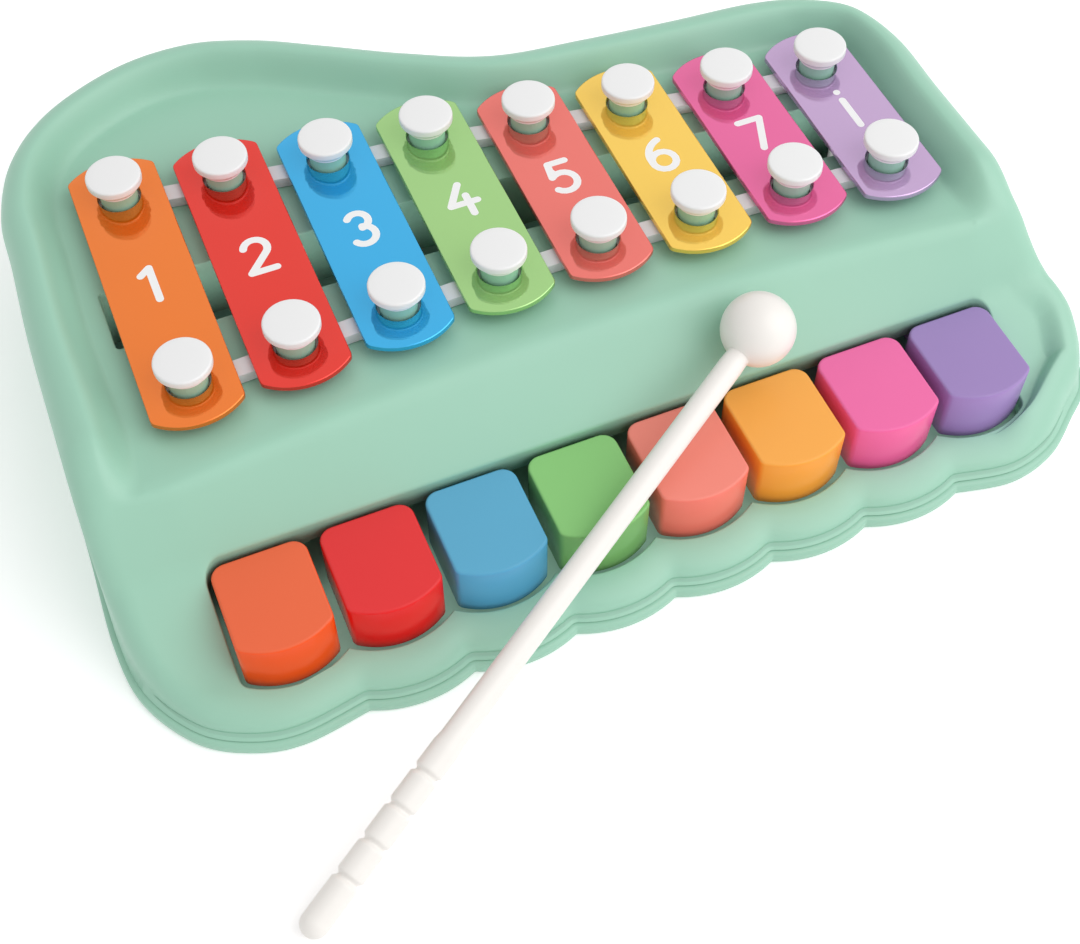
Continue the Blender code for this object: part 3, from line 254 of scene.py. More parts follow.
# Colours, linear
MINT = (0.330, 0.598, 0.458)
WHITE = (0.86, 0.86, 0.86)
WARM_WHITE = (0.885, 0.853, 0.812)
RAIL_GREY = (0.69, 0.71, 0.73)
STEEL = (0.55, 0.55, 0.57)
PRINT_WHITE = (0.90, 0.90, 0.90)
BAR_COLORS = (
    (0.86, 0.185, 0.002), (0.79, 0.018, 0.004), (0.018, 0.420, 0.790), (0.350, 0.625, 0.215),
    (0.85, 0.170, 0.140), (0.96, 0.620, 0.090), (0.82, 0.125, 0.345), (0.550, 0.375, 0.620),
)
# Each key's top colour holds a painted sheen: it is lighter and hazier than the sides' colour, standing in
# for reflected light from above.
KEY_SHEENED_TOP_COLORS = (
    (0.86, 0.150, 0.060), (0.79, 0.040, 0.042), (0.115, 0.405, 0.610), (0.265, 0.590, 0.200),
    (0.90, 0.262, 0.205), (0.95, 0.420, 0.085), (0.88, 0.165, 0.405), (0.355, 0.245, 0.525),
)
# The keys' side colours: purer, without the sheen painted on the tops.
KEY_UNSHEENED_SIDE_COLORS = (
    (0.93, 0.085, 0.004), (0.83, 0.006, 0.007), (0.100, 0.390, 0.640), (0.185, 0.420, 0.130),
    (0.91, 0.190, 0.140), (0.97, 0.360, 0.040), (0.93, 0.130, 0.360), (0.360, 0.225, 0.535),
)
COLOR_NAMES = ("orange", "red", "blue", "green", "coral", "yellow", "pink", "lavender")

# How the surfaces shine. A key's side colour, which lacks the sheen painted on its top, starts where the
# surface leans more than these say.
MINT_ROUGHNESS = 0.40
WHITE_ROUGHNESS = 0.35
PRINT_ROUGHNESS = 0.2
KEY_ROUGHNESS = 0.25
RAIL_ROUGHNESS = 0.5
STEEL_ROUGHNESS = 0.3
PAINT_ROUGHNESS = 0.06
PAINT_METALLIC = 0.6
PLASTIC_IOR = 1.5
PAINT_IOR = 2.1
KEY_IOR = 1.3
SIDE_FROM = 0.30
SIDE_TO = 0.85

# Camera and light
SENSOR_WIDTH = 36
CAMERA_LENS = 53.8
CAMERA_PLACE = (-0.1037, -0.2657, 0.3360)
CAMERA_TURN = (math.radians(90 - 55.43), math.radians(0.12), math.radians(-22.73))
LIGHT_PLACE = (0.80, -0.65, 1.05)
LIGHT_POWER = 12.0
LIGHT_SIZE = 1.5
SKY_LIGHT = 0.70
SKY_SEEN = 1.0
FLOOR_SIZE = 3.0
FLOOR_ROUGHNESS = 0.9
FLOOR_GLOW = 0.06
FLOOR_SEEN = 0.22
STRIP_SHARE = 0.38
STRIP_DROP = 0.004
STRIP_POWER = 0.055
FLOOR_LIGHT_SHARE = 0.5

# Values worked out from the sizes above
ROW_HALF = (NOTES - 1) / 2
BAR_PITCH = BAR_WIDTH + BAR_SPACE
BAR_HOLE_RADIUS = POST_RADIUS + BAR_HOLE_GAP
BAR_BOTTOM = TRAY_HEIGHT + SEAT_GAP + RAIL_THICK + SEAT_GAP
BAR_TOP = BAR_BOTTOM + BAR_THICK
POST_TOP = BAR_TOP + POST_RISE
KEY_PITCH = KEY_WIDTH + KEY_SPACE
CREASE_Y = -(BAR_FRONT_SHARES[0] * BAR_LONGEST + BAR_END_BULGE + TRAY_FRONT_MARGIN)
WELL_BACK_Y = CREASE_Y - SLOPE_RUN + WELL_GAP
KEY_BACK_Y = WELL_BACK_Y - WELL_GAP
KEY_CORNER_Y = KEY_BACK_Y - KEY_SIDE_LENGTH
WELL_FRONT_Y = KEY_CORNER_Y - KEY_FRONT_BULGE - WELL_GAP
WELL_CORNER_Y = WELL_FRONT_Y + KEY_FRONT_BULGE
LOBE_FRONT_Y = WELL_FRONT_Y - WELL_LEDGE - FRONT_RIM_WIDTH
NOTCH_Y = LOBE_FRONT_Y + LOBE_BULGE
WELL_HALF = ROW_HALF * KEY_PITCH + KEY_WIDTH / 2 + WELL_GAP
BAR_ROW_HALF = ROW_HALF * BAR_PITCH + BAR_WIDTH / 2
SLOT_REACH = BAR_ROW_HALF + SLOT_END_MARGIN
BODY_HALF = BAR_ROW_HALF + BAR_SIDE_MARGIN
BACK_REACH = BAR_BACK_SHARES[0] * BAR_LONGEST + BAR_END_BULGE + BACK_MARGIN
FRONT_REACH = -NOTCH_Y
SHELL_FOOT = BASE_EDGE + SEAT_GAP
AXLE_Y = KEY_BACK_Y + AXLE_SETBACK
SCREW_HOLE_RADIUS = SCREW_RADIUS + SCREW_PLAY
SCREW_CUP_RADIUS = SCREW_HEAD_RADIUS + SCREW_PLAY
SCREW_CUP_DEPTH = SCREW_HEAD_HEIGHT + SCREW_SINK
SCREW_CUP_TOP = SCREW_CUP_DEPTH + SCREW_CUP_ROOF


# Shapes in plan


def clamped(t):
    return min(max(t, 0), 1)


def smooth_step(t):
    t = clamped(t)
    return t * t * (3 - 2 * t)


def arc(center, radius, start, end, steps):
    """Points on an arc, by angles in radians."""
    angles = [start + (end - start) * i / steps for i in range(steps + 1)]
    return [(center[0] + radius * math.cos(a), center[1] + radius * math.sin(a)) for a in angles]


def arc_by_degrees(x, y, radius, start, end, steps):
    return arc((x, y), radius, math.radians(start), math.radians(end), steps)


def circle(radius, steps, center=(0, 0)):
    return arc(center, radius, 0, 2 * math.pi, steps)[:-1]


def shallow_arc(start, end, bulge, steps):
    """Points from start to end on the arc that stands out by bulge to the right of the way."""
    chord = math.hypot(end[0] - start[0], end[1] - start[1])
    radius = (chord * chord / 4 + bulge * bulge) / (2 * bulge)
    along = ((end[0] - start[0]) / chord, (end[1] - start[1]) / chord)
    side = (along[1], -along[0])
    half = math.asin(chord / 2 / radius)
    points = []
    for i in range(steps + 1):
        angle = half * (2 * i / steps - 1)
        run = chord / 2 + radius * math.sin(angle)
        rise = radius * math.cos(angle) - (radius - bulge)
        points.append(tuple(start[k] + along[k] * run + side[k] * rise for k in (0, 1)))
    return points


def catmull_rom(before, start, end, after, t):
    """The point at t on the smooth curve from start to end, for each coordinate."""
    weights = (
        (2 * t * t - t - t ** 3) / 2,
        (2 - 5 * t * t + 3 * t ** 3) / 2,
        (t + 4 * t * t - 3 * t ** 3) / 2,
        (t ** 3 - t * t) / 2,
    )
    return tuple(
        sum(weight * value for weight, value in zip(weights, values))
        for values in zip(before, start, end, after)
    )


def round_corners(outline, radius, steps, both=False):
    """Rounds the outward corners of a counterclockwise outline, and its notches too where both is set."""
    rounded = []
    count = len(outline)
    for i in range(count):
        before, here, after = (Vector(outline[j % count][:2]) for j in (i - 1, i, i + 1))
        one = (here - before).normalized()
        two = (after - here).normalized()
        turn = math.atan2(one.x * two.y - one.y * two.x, one.dot(two))
        if abs(turn) < LEAST_CORNER or (turn < 0 and not both):
            rounded.append(tuple(here))
            continue
        room = min((here - before).length, (after - here).length) * CORNER_ROOM_SHARE
        reach = min(radius * math.tan(abs(turn) / 2), room)
        limited = reach / math.tan(abs(turn) / 2)
        side = 1 if turn > 0 else -1
        start = here - one * reach
        center = start + Vector((-one.y, one.x)) * limited * side
        first = math.atan2(start.y - center.y, start.x - center.x)
        rounded += arc(center, limited, first, first + turn, steps)
    return rounded


def spaced(points, step):
    """A closed outline with points added where two of them lie further apart than step."""
    dense = []
    for here, after in zip(points, points[1:] + points[:1]):
        count = max(1, math.ceil(math.dist(here[:2], after[:2]) / step))
        for i in range(count):
            share = i / count
            dense.append(tuple(a + (b - a) * share for a, b in zip(here, after)))
    return dense


def inward_normals(points):
    """Unit vectors to the left of the way round, which is inwards on a counterclockwise outline."""
    normals = []
    count = len(points)
    for i in range(count):
        before, here, after = (Vector(points[j % count][:2]) for j in (i - 1, i, i + 1))
        along = ((here - before).normalized() + (after - here).normalized()).normalized()
        normals.append(Vector((-along.y, along.x)))
    return normals


def offset_outline(points, way):
    """The outline moved inwards by way, or outwards where way is negative."""
    return [
        (x + normal.x * way, y + normal.y * way)
        for (x, y), normal in zip([p[:2] for p in points], inward_normals(points))
    ]


def rectangle(low, high, inset=0):
    left, front, right, back = low[0] + inset, low[1] + inset, high[0] - inset, high[1] - inset
    return [(left, front), (right, front), (right, back), (left, back)]


def level(points, height):
    return [(*point, height) for point in points]


def edge_rings(outline, size, middle, angles, start=0):
    """The rings of a rounded edge whose arc has its middle at this height, by angles in degrees."""
    rings = []
    for degrees in angles:
        angle = math.radians(degrees)
        inset = start + size * (1 - math.cos(angle))
        rings.append(level(offset_outline(outline, inset), middle + size * math.sin(angle)))
    return rings


def add_object(name, data):
    obj = bpy.data.objects.new(name, data)
    bpy.context.collection.objects.link(obj)
    return obj


# A mesh that is built ring by ring, with flat parts filled in between outlines


class Skin:
    def __init__(self):
        self.points = []
        self.faces = []
        self.marks = []

    def ring(self, points):
        start = len(self.points)
        self.points += [tuple(point) for point in points]
        return list(range(start, len(self.points)))

    def face(self, corners, mark=0):
        self.faces.append(tuple(corners))
        self.marks.append(mark)

    def bridge(self, lower, upper):
        """Faces between two rings of as many points, facing out where both run counterclockwise."""
        count = len(lower)
        for i in range(count):
            j = (i + 1) % count
            self.face((lower[i], lower[j], upper[j], upper[i]))

    def stack(self, rings):
        """Faces between each ring and the next. Returns the first and the last ring's indices."""
        rows = [self.ring(ring) for ring in rings]
        for lower, upper in zip(rows, rows[1:]):
            self.bridge(lower, upper)
        return rows[0], rows[-1]

    def cap(self, ring, point, up=True):
        """A fan from a ring to one point."""
        middle = self.ring([point])[0]
        count = len(ring)
        for i in range(count):
            pair = (ring[i], ring[(i + 1) % count])
            self.face((*pair, middle) if up else (pair[1], pair[0], middle))

    def fill(self, border, holes, height, extra=(), lines=(), mark_at=None, up=True):
        """Triangles inside the border ring and outside the hole rings, through extra points and lines."""
        loops = [border] + list(holes)
        outlines = [[tuple(self.points[i][:2]) for i in loop] for loop in loops]
        flat, edges = [], []
        for loop in outlines + list(lines):
            start = len(flat)
            flat += [Vector(point) for point in loop]
            edges += [(start + i, start + (i + 1) % len(loop)) for i in range(len(loop))]
        flat += [Vector(point) for point in extra]
        known = sum(loops, [])
        known += [None] * (len(flat) - len(known))
        verts, _, faces, origins, _, _ = delaunay_2d_cdt(flat, edges, [], 0, MERGE_DISTANCE, True)
        index = []
        for vert, origin in zip(verts, origins):
            first = next((known[i] for i in origin if known[i] is not None), None)
            if first is None:
                first = self.ring([(vert.x, vert.y, height(vert.x, vert.y))])[0]
            index.append(first)
        tests = Rows(outlines)
        for corners in faces:
            middle = sum((verts[i] for i in corners), Vector((0, 0))) / len(corners)
            if not tests.within(middle):
                continue
            placed = [index[i] for i in corners]
            mark = mark_at(middle) if mark_at else 0
            self.face(placed if up else reversed(placed), mark)

    def piece(self, name, materials, body, location=(0, 0, 0), matrix=None, replaces=()):
        mesh = bpy.data.meshes.new(name)
        mesh.from_pydata(self.points, [], self.faces)
        for material in materials:
            mesh.materials.append(material)
        for polygon, mark in zip(mesh.polygons, self.marks):
            polygon.material_index = mark
        bm = bmesh.new()
        bm.from_mesh(mesh)
        loose = [vert for vert in bm.verts if not vert.link_faces]
        bmesh.ops.delete(bm, geom=loose, context="VERTS")
        bm.to_mesh(mesh)
        bm.free()
        mesh.validate()
        mesh.shade_smooth()
        mesh.set_sharp_from_angle(angle=SHARP_ANGLE)
        if matrix is not None:
            mesh.transform(matrix)
        obj = add_object(name, mesh)
        obj.location = location
        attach(obj, body)
        if replaces:
            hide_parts(*replaces)
        return obj


class Rows:
    """Outlines sorted by y, to test quickly whether a point is inside the first and outside the others."""

    def __init__(self, outlines):
        self.rows = {}
        for number, outline in enumerate(outlines):
            for one, two in zip(outline, outline[1:] + outline[:1]):
                low = math.floor(min(one[1], two[1]) / LATTICE_PITCH)
                high = math.floor(max(one[1], two[1]) / LATTICE_PITCH)
                for row in range(low, high + 1):
                    self.rows.setdefault(row, []).append((number, one, two))

    def within(self, point):
        x, y = point
        found = {}
        for number, (x0, y0), (x1, y1) in self.rows.get(math.floor(y / LATTICE_PITCH), ()):
            if (y0 > y) != (y1 > y) and x < x0 + (x1 - x0) * (y - y0) / (y1 - y0):
                found[number] = not found.get(number, False)
        return found.pop(0, False) and not any(found.values())


# The rows of bars and keys


def bar_x(note):
    return (note - 1 - ROW_HALF) * BAR_PITCH


def key_x(note):
    return KEY_ROW_SHIFT + (note - 1 - ROW_HALF) * KEY_PITCH


def bar_ends(note):
    return -BAR_FRONT_SHARES[note - 1] * BAR_LONGEST, BAR_BACK_SHARES[note - 1] * BAR_LONGEST


def post_places(note):
    front, back = bar_ends(note)
    return (bar_x(note), front + POST_INSET), (bar_x(note), back - POST_INSET)


# The body's plan and heights


def outline_points():
    """The base's outline, counterclockwise from the last notch, with the rim's width at each point."""
    knots = []
    for x_share, y_share, width_share in OUTLINE_SHARES:
        reach = BACK_REACH if y_share > 0 else FRONT_REACH
        knots.append((x_share * BODY_HALF, y_share * reach, width_share * RIM_WIDTH))
    first = (key_x(NOTES) - KEY_PITCH / 2, NOTCH_Y, FRONT_RIM_WIDTH)
    last = (key_x(1) + KEY_PITCH / 2, NOTCH_Y, FRONT_RIM_WIDTH)
    knots = [first] + knots + [last]
    points = [first]
    for i in range(len(knots) - 1):
        before = knots[i - 1] if i else knots[0]
        after = knots[i + 2] if i + 2 < len(knots) else knots[-1]
        steps = max(2, math.ceil(math.dist(knots[i][:2], knots[i + 1][:2]) / CHORD))
        for step in range(1, steps + 1):
            points.append(catmull_rom(before, knots[i], knots[i + 1], after, step / steps))
    for note in range(2, NOTES):
        start = (key_x(note) - KEY_PITCH / 2, NOTCH_Y)
        end = (key_x(note) + KEY_PITCH / 2, NOTCH_Y)
        lobe = shallow_arc(start, end, LOBE_BULGE, math.ceil(KEY_PITCH / CHORD))
        points += [(x, y, FRONT_RIM_WIDTH) for x, y in lobe[1:]]
    return round_notches(points[:-1])


def round_notches(points):
    """Rounds the notches between the lobes, and keeps each point's rim width."""
    rounded = round_corners(points, NOTCH_ROUND, CORNER_STEPS, both=True)
    widths = []
    source = 0
    for point in rounded:
        near = range(source, source + 3)
        source = min(near, key=lambda i: math.dist(points[i % len(points)][:2], point))
        widths.append(points[source % len(points)][2])
    return [(x, y, width) for (x, y), width in zip(rounded, widths)]


def crease_y(x):
    """Where the tray ends and the slope to the keys begins. It bows towards the keys at both sides."""
    return CREASE_Y - CREASE_BOW * min(abs(x) / WELL_HALF, 1) ** 2


def straightened(x, y):
    """The y that a point of the top has once the crease is pulled straight, with the other lines kept."""
    crease = crease_y(x)
    if crease <= y < 0:
        return y * CREASE_Y / crease
    if WELL_BACK_Y < y < crease:
        return WELL_BACK_Y + (y - WELL_BACK_Y) * (CREASE_Y - WELL_BACK_Y) / (crease - WELL_BACK_Y)
    return y


def softened(t):
    """t where it is above 0, and 0 below, with the bend between them rounded off."""
    if abs(t) >= CREASE_SOFTNESS:
        return max(t, 0)
    return (t + CREASE_SOFTNESS) ** 2 / (4 * CREASE_SOFTNESS)


def floor_height(x, y):
    """The height of the tray, of the slope in front of it and of the deck round the keys."""
    along = straightened(x, y)
    fall = TRAY_HEIGHT - DECK_BACK_HEIGHT
    run = CREASE_Y - WELL_BACK_Y
    if along >= WELL_BACK_Y:
        return TRAY_HEIGHT - fall * softened((CREASE_Y - along) / run)
    deck_run = WELL_BACK_Y - KEY_CORNER_Y
    t = (WELL_BACK_Y - along) / deck_run
    if t >= 1:
        return FRONT_RIM_HEIGHT - DECK_END_SLOPE * deck_run * (t - 1)
    height = DECK_BACK_HEIGHT + (FRONT_RIM_HEIGHT - DECK_BACK_HEIGHT) * smooth_step(t)
    return height - deck_run * t * (1 - t) * (fall / run * (1 - t) - DECK_END_SLOPE * t)


def rim_across(width):
    """How far in from the wall the rim's rounding reaches: nearly all the way where the rim is narrow."""
    wide = ROUND_CHANGE_SHARE * RIM_WIDTH
    narrow = clamped((wide - width) / (wide - FRONT_RIM_WIDTH))
    share = RIM_ROUND_SHARE + (FRONT_ROUND_SHARE - RIM_ROUND_SHARE) * narrow
    return share * (width - FLANGE_STEP - WALL_DRAFT)


def rim_rise(x, y):
    """How far the rim's crest stands above the tray: it rises behind the crease, as the slope goes on."""
    t = clamped((y - crease_y(x)) / CREST_RUN)
    return RIM_RISE * math.sin(math.pi / 2 * t) + ridge_rise(x, y)


def ridge_rise(x, y):
    """The rim also stands up beside the highest key, where the body bulges."""
    middle = WELL_CORNER_Y + (WELL_BACK_Y - WELL_CORNER_Y) * RIDGE_MIDDLE_SHARE
    away = min(abs(y - middle) / RIDGE_REACH, 1)
    aside = (x - key_x(NOTES)) / (WELL_HALF - key_x(NOTES))
    return RIDGE_RISE * smooth_step(aside) * (1 + math.cos(math.pi * away)) / 2


def rim_rings(points):
    """The rings from the foot of the wall over the rim to the edge of the tray and of the deck."""
    normals = inward_normals(points)
    wall = FLANGE_STEP + EDGE_INSET

    def ring(way_at, height_at):
        made = []
        for (x, y, width), normal in zip(points, normals):
            way = way_at(width)
            here = (x + normal.x * way, y + normal.y * way)
            made.append((*here, height_at(*here)))
        return made

    rings = []
    for degrees in (0, 45, 90):
        angle = math.radians(degrees)
        way = wall + WALL_FOOT_ROUND * (1 - math.sin(angle))
        height = BASE_EDGE + FOOT_GAP + WALL_FOOT_ROUND * (1 - math.cos(angle))
        rings.append(ring(lambda width: way, lambda x, y: height))
    for step in range(RIM_ROUND_STEPS + 1):
        angle = math.pi / 2 * step / RIM_ROUND_STEPS

        def way_at(width):
            return wall + WALL_DRAFT + rim_across(width) * (1 - math.cos(angle))

        def height_at(x, y):
            height = floor_height(x, y) + rim_rise(x, y)
            down = min(RIM_ROUND, RIM_ROUND_REACH * (height - SHELL_FOOT))
            return height - down * (1 - math.sin(angle))

        rings.append(ring(way_at, height_at))
    for step in range(1, RIM_FALL_STEPS + 1):
        share = step / RIM_FALL_STEPS

        def way_at(width):
            flat = wall + WALL_DRAFT + rim_across(width)
            return flat + (width - flat) * share

        def height_at(x, y):
            bump = (1 + math.cos(math.pi * share)) / 2
            return floor_height(x, y) + rim_rise(x, y) * bump

        rings.append(ring(way_at, height_at))
    return rings


def well_outline():
    """The opening for all the keys: straight at the back and the sides, with a lobe under each key."""
    left = KEY_ROW_SHIFT - WELL_HALF
    right = KEY_ROW_SHIFT + WELL_HALF
    outline = [(right, WELL_BACK_Y), (left, WELL_BACK_Y)]
    for note in range(1, NOTES + 1):
        start = (left if note == 1 else key_x(note) - KEY_PITCH / 2, WELL_CORNER_Y)
        end = (right if note == NOTES else key_x(note) + KEY_PITCH / 2, WELL_CORNER_Y)
        lobe = shallow_arc(start, end, KEY_FRONT_BULGE, WELL_LOBE_STEPS)
        outline += lobe if note == 1 else lobe[1:]
    return spaced(round_corners(outline, WELL_CORNER_RADIUS, WIDE_CORNER_STEPS), CHORD)


def slot_middle(x):
    """The middle of the long opening in the tray, which follows the middles of the bars."""
    bend = SLOT_BEND_SHARE * SLOT_REACH
    if x <= bend:
        return SLOT_LEFT_Y
    return SLOT_LEFT_Y + (SLOT_RIGHT_Y - SLOT_LEFT_Y) * (x - bend) / (SLOT_REACH - bend)


def slot_outline():
    """The long opening in the tray through which the hammers reach the bars."""
    places = (-SLOT_REACH, SLOT_BEND_SHARE * SLOT_REACH, SLOT_REACH - SLOT_RIGHT_LOSS)
    front = [(x, slot_middle(x) - SLOT_WIDTH / 2) for x in places]
    back = [(x, slot_middle(x) + SLOT_WIDTH / 2) for x in reversed(places)]
    return spaced(round_corners(front + back, SLOT_CORNER_RADIUS, LIP_STEPS), CHORD * 2)


def lip_rings(outline, lip, depth):
    """The rounded edge of an opening, from the top surface down. The outline runs counterclockwise."""
    rings = []
    for step in range(LIP_STEPS + 1):
        angle = math.pi / 2 * step / LIP_STEPS
        moved = offset_outline(outline, -lip * (1 - math.sin(angle)))
        down = lip * (1 - math.cos(angle))
        rings.append([(x, y, floor_height(x, y) - down) for x, y in moved])
    least = BASE_EDGE + SKIRT_CLEARANCE
    rings.append([(x, y, max(floor_height(x, y) - depth, least)) for x, y in outline])
    return rings


def lattice(border, holes):
    """Points over the top surface, clear of its edges, in rows that follow the crease."""

    def cell(x, y):
        return round(x / LATTICE_PITCH), round(y / LATTICE_PITCH)

    taken = {}
    for outline in [border] + holes:
        for x, y in spaced(outline, LATTICE_PITCH / 2):
            taken.setdefault(cell(x, y), []).append((x, y))
    rows = Rows([border] + holes)
    points = []
    count_x = math.ceil(BODY_HALF / LATTICE_PITCH)
    count_y = math.ceil(BACK_REACH / LATTICE_PITCH) + 2
    for i in range(-count_x, count_x + 1):
        x = i * LATTICE_PITCH
        bow = crease_y(x) - CREASE_Y
        for j in range(-count_y, count_y + 1):
            row = j * LATTICE_PITCH
            fade = clamped(1 - abs(row - CREASE_Y) / (CREASE_Y - WELL_BACK_Y))
            y = row + bow * fade
            if not rows.within((x, y)):
                continue
            column, line = cell(x, y)
            near = (
                other
                for di in (-1, 0, 1)
                for dj in (-1, 0, 1)
                for other in taken.get((column + di, line + dj), ())
            )
            if all(math.dist(other, (x, y)) > LATTICE_CLEARANCE for other in near):
                points.append((x, y))
    return points


# Materials


def shader_of(made):
    return made.node_tree.nodes["Principled BSDF"]


def finish(name, color, roughness, metallic=0.0, ior=PLASTIC_IOR):
    """A plain Principled material, to which the functions below add unevenness."""
    made = bpy.data.materials.new(name)
    made.use_nodes = True
    made.diffuse_color = (*color, 1.0)
    values = {"Base Color": (*color, 1.0), "Roughness": roughness, "Metallic": metallic, "IOR": ior}
    for socket, value in values.items():
        shader_of(made).inputs[socket].default_value = value
    return made


def add_node(made, kind, **values):
    node = made.node_tree.nodes.new(kind)
    for name, value in values.items():
        if hasattr(node, name):
            setattr(node, name, value)
        else:
            node.inputs[name.replace("_", " ")].default_value = value
    return node


def join(made, source, output, target, socket):
    made.node_tree.links.new(source.outputs[output], target.inputs[socket])


def noise(made, scale, detail=2.0, stretch=(1, 1, 1)):
    """A noise texture over the object's own coordinates, which are metres."""
    places = add_node(made, "ShaderNodeTexCoord")
    mapping = add_node(made, "ShaderNodeMapping")
    mapping.inputs["Scale"].default_value = stretch
    join(made, places, "Object", mapping, "Vector")
    texture = add_node(made, "ShaderNodeTexNoise", Scale=scale, Detail=detail)
    join(made, mapping, "Vector", texture, "Vector")
    return texture


def uneven_color(made, color, scale, amount):
    """Mixes the colour with a slightly darker one by a soft noise."""
    texture = noise(made, scale)
    mix = add_node(made, "ShaderNodeMix", data_type="RGBA")
    mix.inputs[6].default_value = (*color, 1.0)
    mix.inputs[7].default_value = (*(value * (1 - amount) for value in color), 1.0)
    join(made, texture, "Fac", mix, "Factor")
    join(made, mix, 2, shader_of(made), "Base Color")


def uneven_gloss(made, roughness, scale, amount):
    texture = noise(made, scale, detail=3.0)
    spread = add_node(made, "ShaderNodeMapRange", To_Min=roughness - amount, To_Max=roughness + amount)
    join(made, texture, "Fac", spread, "Value")
    join(made, spread, "Result", shader_of(made), "Roughness")


def grain(made, scale, distance, strength, stretch=(1, 1, 1)):
    texture = noise(made, scale, detail=4.0, stretch=stretch)
    bump = add_node(made, "ShaderNodeBump", Strength=strength, Distance=distance)
    join(made, texture, "Fac", bump, "Height")
    join(made, bump, "Normal", shader_of(made), "Normal")


def moulded(name, color, roughness, ior=PLASTIC_IOR):
    made = finish(name, color, roughness, ior=ior)
    uneven_color(made, color, scale=45, amount=0.04)
    uneven_gloss(made, roughness, scale=220, amount=0.03)
    grain(made, scale=1800, distance=0.00002, strength=0.10)
    return made


def deeper_sides(made, color):
    """Painted sheen: the top keeps a lighter, hazier colour that stands in for reflected light, and the
    upright sides take the given colour, a purer one.
    """
    top = shader_of(made).inputs["Base Color"].links[0].from_node
    place = add_node(made, "ShaderNodeNewGeometry")
    parts = add_node(made, "ShaderNodeSeparateXYZ")
    join(made, place, "Normal", parts, "Vector")
    spread = add_node(made, "ShaderNodeMapRange", From_Min=SIDE_FROM, From_Max=SIDE_TO)
    join(made, parts, "Z", spread, "Value")
    mix = add_node(made, "ShaderNodeMix", data_type="RGBA")
    mix.inputs[6].default_value = (*color, 1.0)
    join(made, top, 2, mix, 7)
    join(made, spread, "Result", mix, "Factor")
    join(made, mix, 2, shader_of(made), "Base Color")


def painted(name, color):
    """Glossy metallic paint, which mirrors the white surroundings and the caps in its own colour."""
    made = finish(name, color, PAINT_ROUGHNESS, PAINT_METALLIC, PAINT_IOR)
    uneven_color(made, color, scale=60, amount=0.03)
    uneven_gloss(made, PAINT_ROUGHNESS, scale=300, amount=0.015)
    grain(made, scale=600, distance=0.00001, strength=0.03)
    return made


def brushed(name, color):
    made = finish(name, color, STEEL_ROUGHNESS, metallic=1.0)
    uneven_gloss(made, STEEL_ROUGHNESS, scale=800, amount=0.06)
    grain(made, scale=3000, distance=0.00002, strength=0.2, stretch=(1, 12, 12))
    return made


# Pieces


def add_shell(mint):
    skin = Skin()
    rings = rim_rings(outline_points())
    _, edge = skin.stack(rings)
    well = lip_rings(well_outline(), WELL_LIP, WELL_SKIRT)
    slot = lip_rings(slot_outline(), SLOT_LIP, SLOT_SKIRT)
    holes = []
    for opening in (well, slot):
        rows = [skin.ring(ring) for ring in opening]
        for upper, lower in zip(rows, rows[1:]):
            skin.bridge(upper, lower)
        holes.append(rows[0])
    border = [point[:2] for point in rings[-1]]
    cut = [[point[:2] for point in opening[0]] for opening in (well, slot)]
    skin.fill(edge, holes, floor_height, extra=lattice(border, cut))
    shell = skin.piece("shell_body", [mint], "body", replaces=["upper_shell"])
    thick = shell.modifiers.new("Wall", "SOLIDIFY")
    thick.thickness = SHELL_SKIN
    thick.offset = -1


def turned(skin, profile, steps, center=(0, 0)):
    """A closed solid turned about an upright axis. The profile starts at its foot and ends at its top."""
    rings = [level(circle(radius, steps, center), height) for radius, height in profile[1:-1]]
    first, last = skin.stack(rings)
    skin.cap(first, (*center, profile[0][1]), up=False)
    skin.cap(last, (*center, profile[-1][1]))


def add_posts(mint):
    skin = Skin()
    low = TRAY_HEIGHT - POST_SINK
    foot = POST_RADIUS + POST_FILLET
    fillet = arc_by_degrees(foot, TRAY_HEIGHT + POST_FILLET, POST_FILLET, 270, 180, LIP_STEPS)
    profile = [(0, low), (foot, low)] + fillet
    profile += [(POST_RADIUS, POST_TOP), (0, POST_TOP)]
    for note in range(1, NOTES + 1):
        for place in post_places(note):
            turned(skin, profile, ROUND_SIDES, place)
    skin.piece("shell_posts", [mint], "body")


def screw_places():
    return [(x * BODY_HALF, y * (BACK_REACH if y > 0 else FRONT_REACH)) for x, y in SCREW_SHARES]


def add_block(skin, low, high):
    """A closed block whose upper edges are slightly rounded."""
    rings = [level(rectangle(low, high), low[2])]
    for degrees in (0, 45, 90):
        angle = math.radians(degrees)
        inset = RIB_EDGE_ROUND * (1 - math.cos(angle))
        height = high[2] - RIB_EDGE_ROUND * (1 - math.sin(angle))
        rings.append(level(rectangle(low, high, inset), height))
    first, last = skin.stack(rings)
    skin.face(reversed(first))
    skin.face(last)


def add_ribs(skin):
    """The ribs that hold the axle, and the long rib that the levers rest on."""
    foot = BASE_FLOOR / 2
    half = AXLE_RIB_THICK / 2
    for note in range(1, NOTES + 2):
        x = key_x(note) - KEY_PITCH / 2
        low = (x - half, AXLE_Y - AXLE_RIB_LENGTH / 2, foot)
        add_block(skin, low, (x + half, AXLE_Y + AXLE_RIB_LENGTH / 2, AXLE_HEIGHT + AXLE_RIB_CREST))
    reach = ROW_HALF * max(BAR_PITCH, KEY_PITCH) + abs(KEY_ROW_SHIFT) + LEVER_WIDTH / 2
    low = (-reach, REST_RIB_Y - REST_RIB_WIDTH / 2, foot)
    high = (reach, REST_RIB_Y + REST_RIB_WIDTH / 2, AXLE_HEIGHT - LEVER_THICK / 2 - SEAT_GAP)
    add_block(skin, low, high)


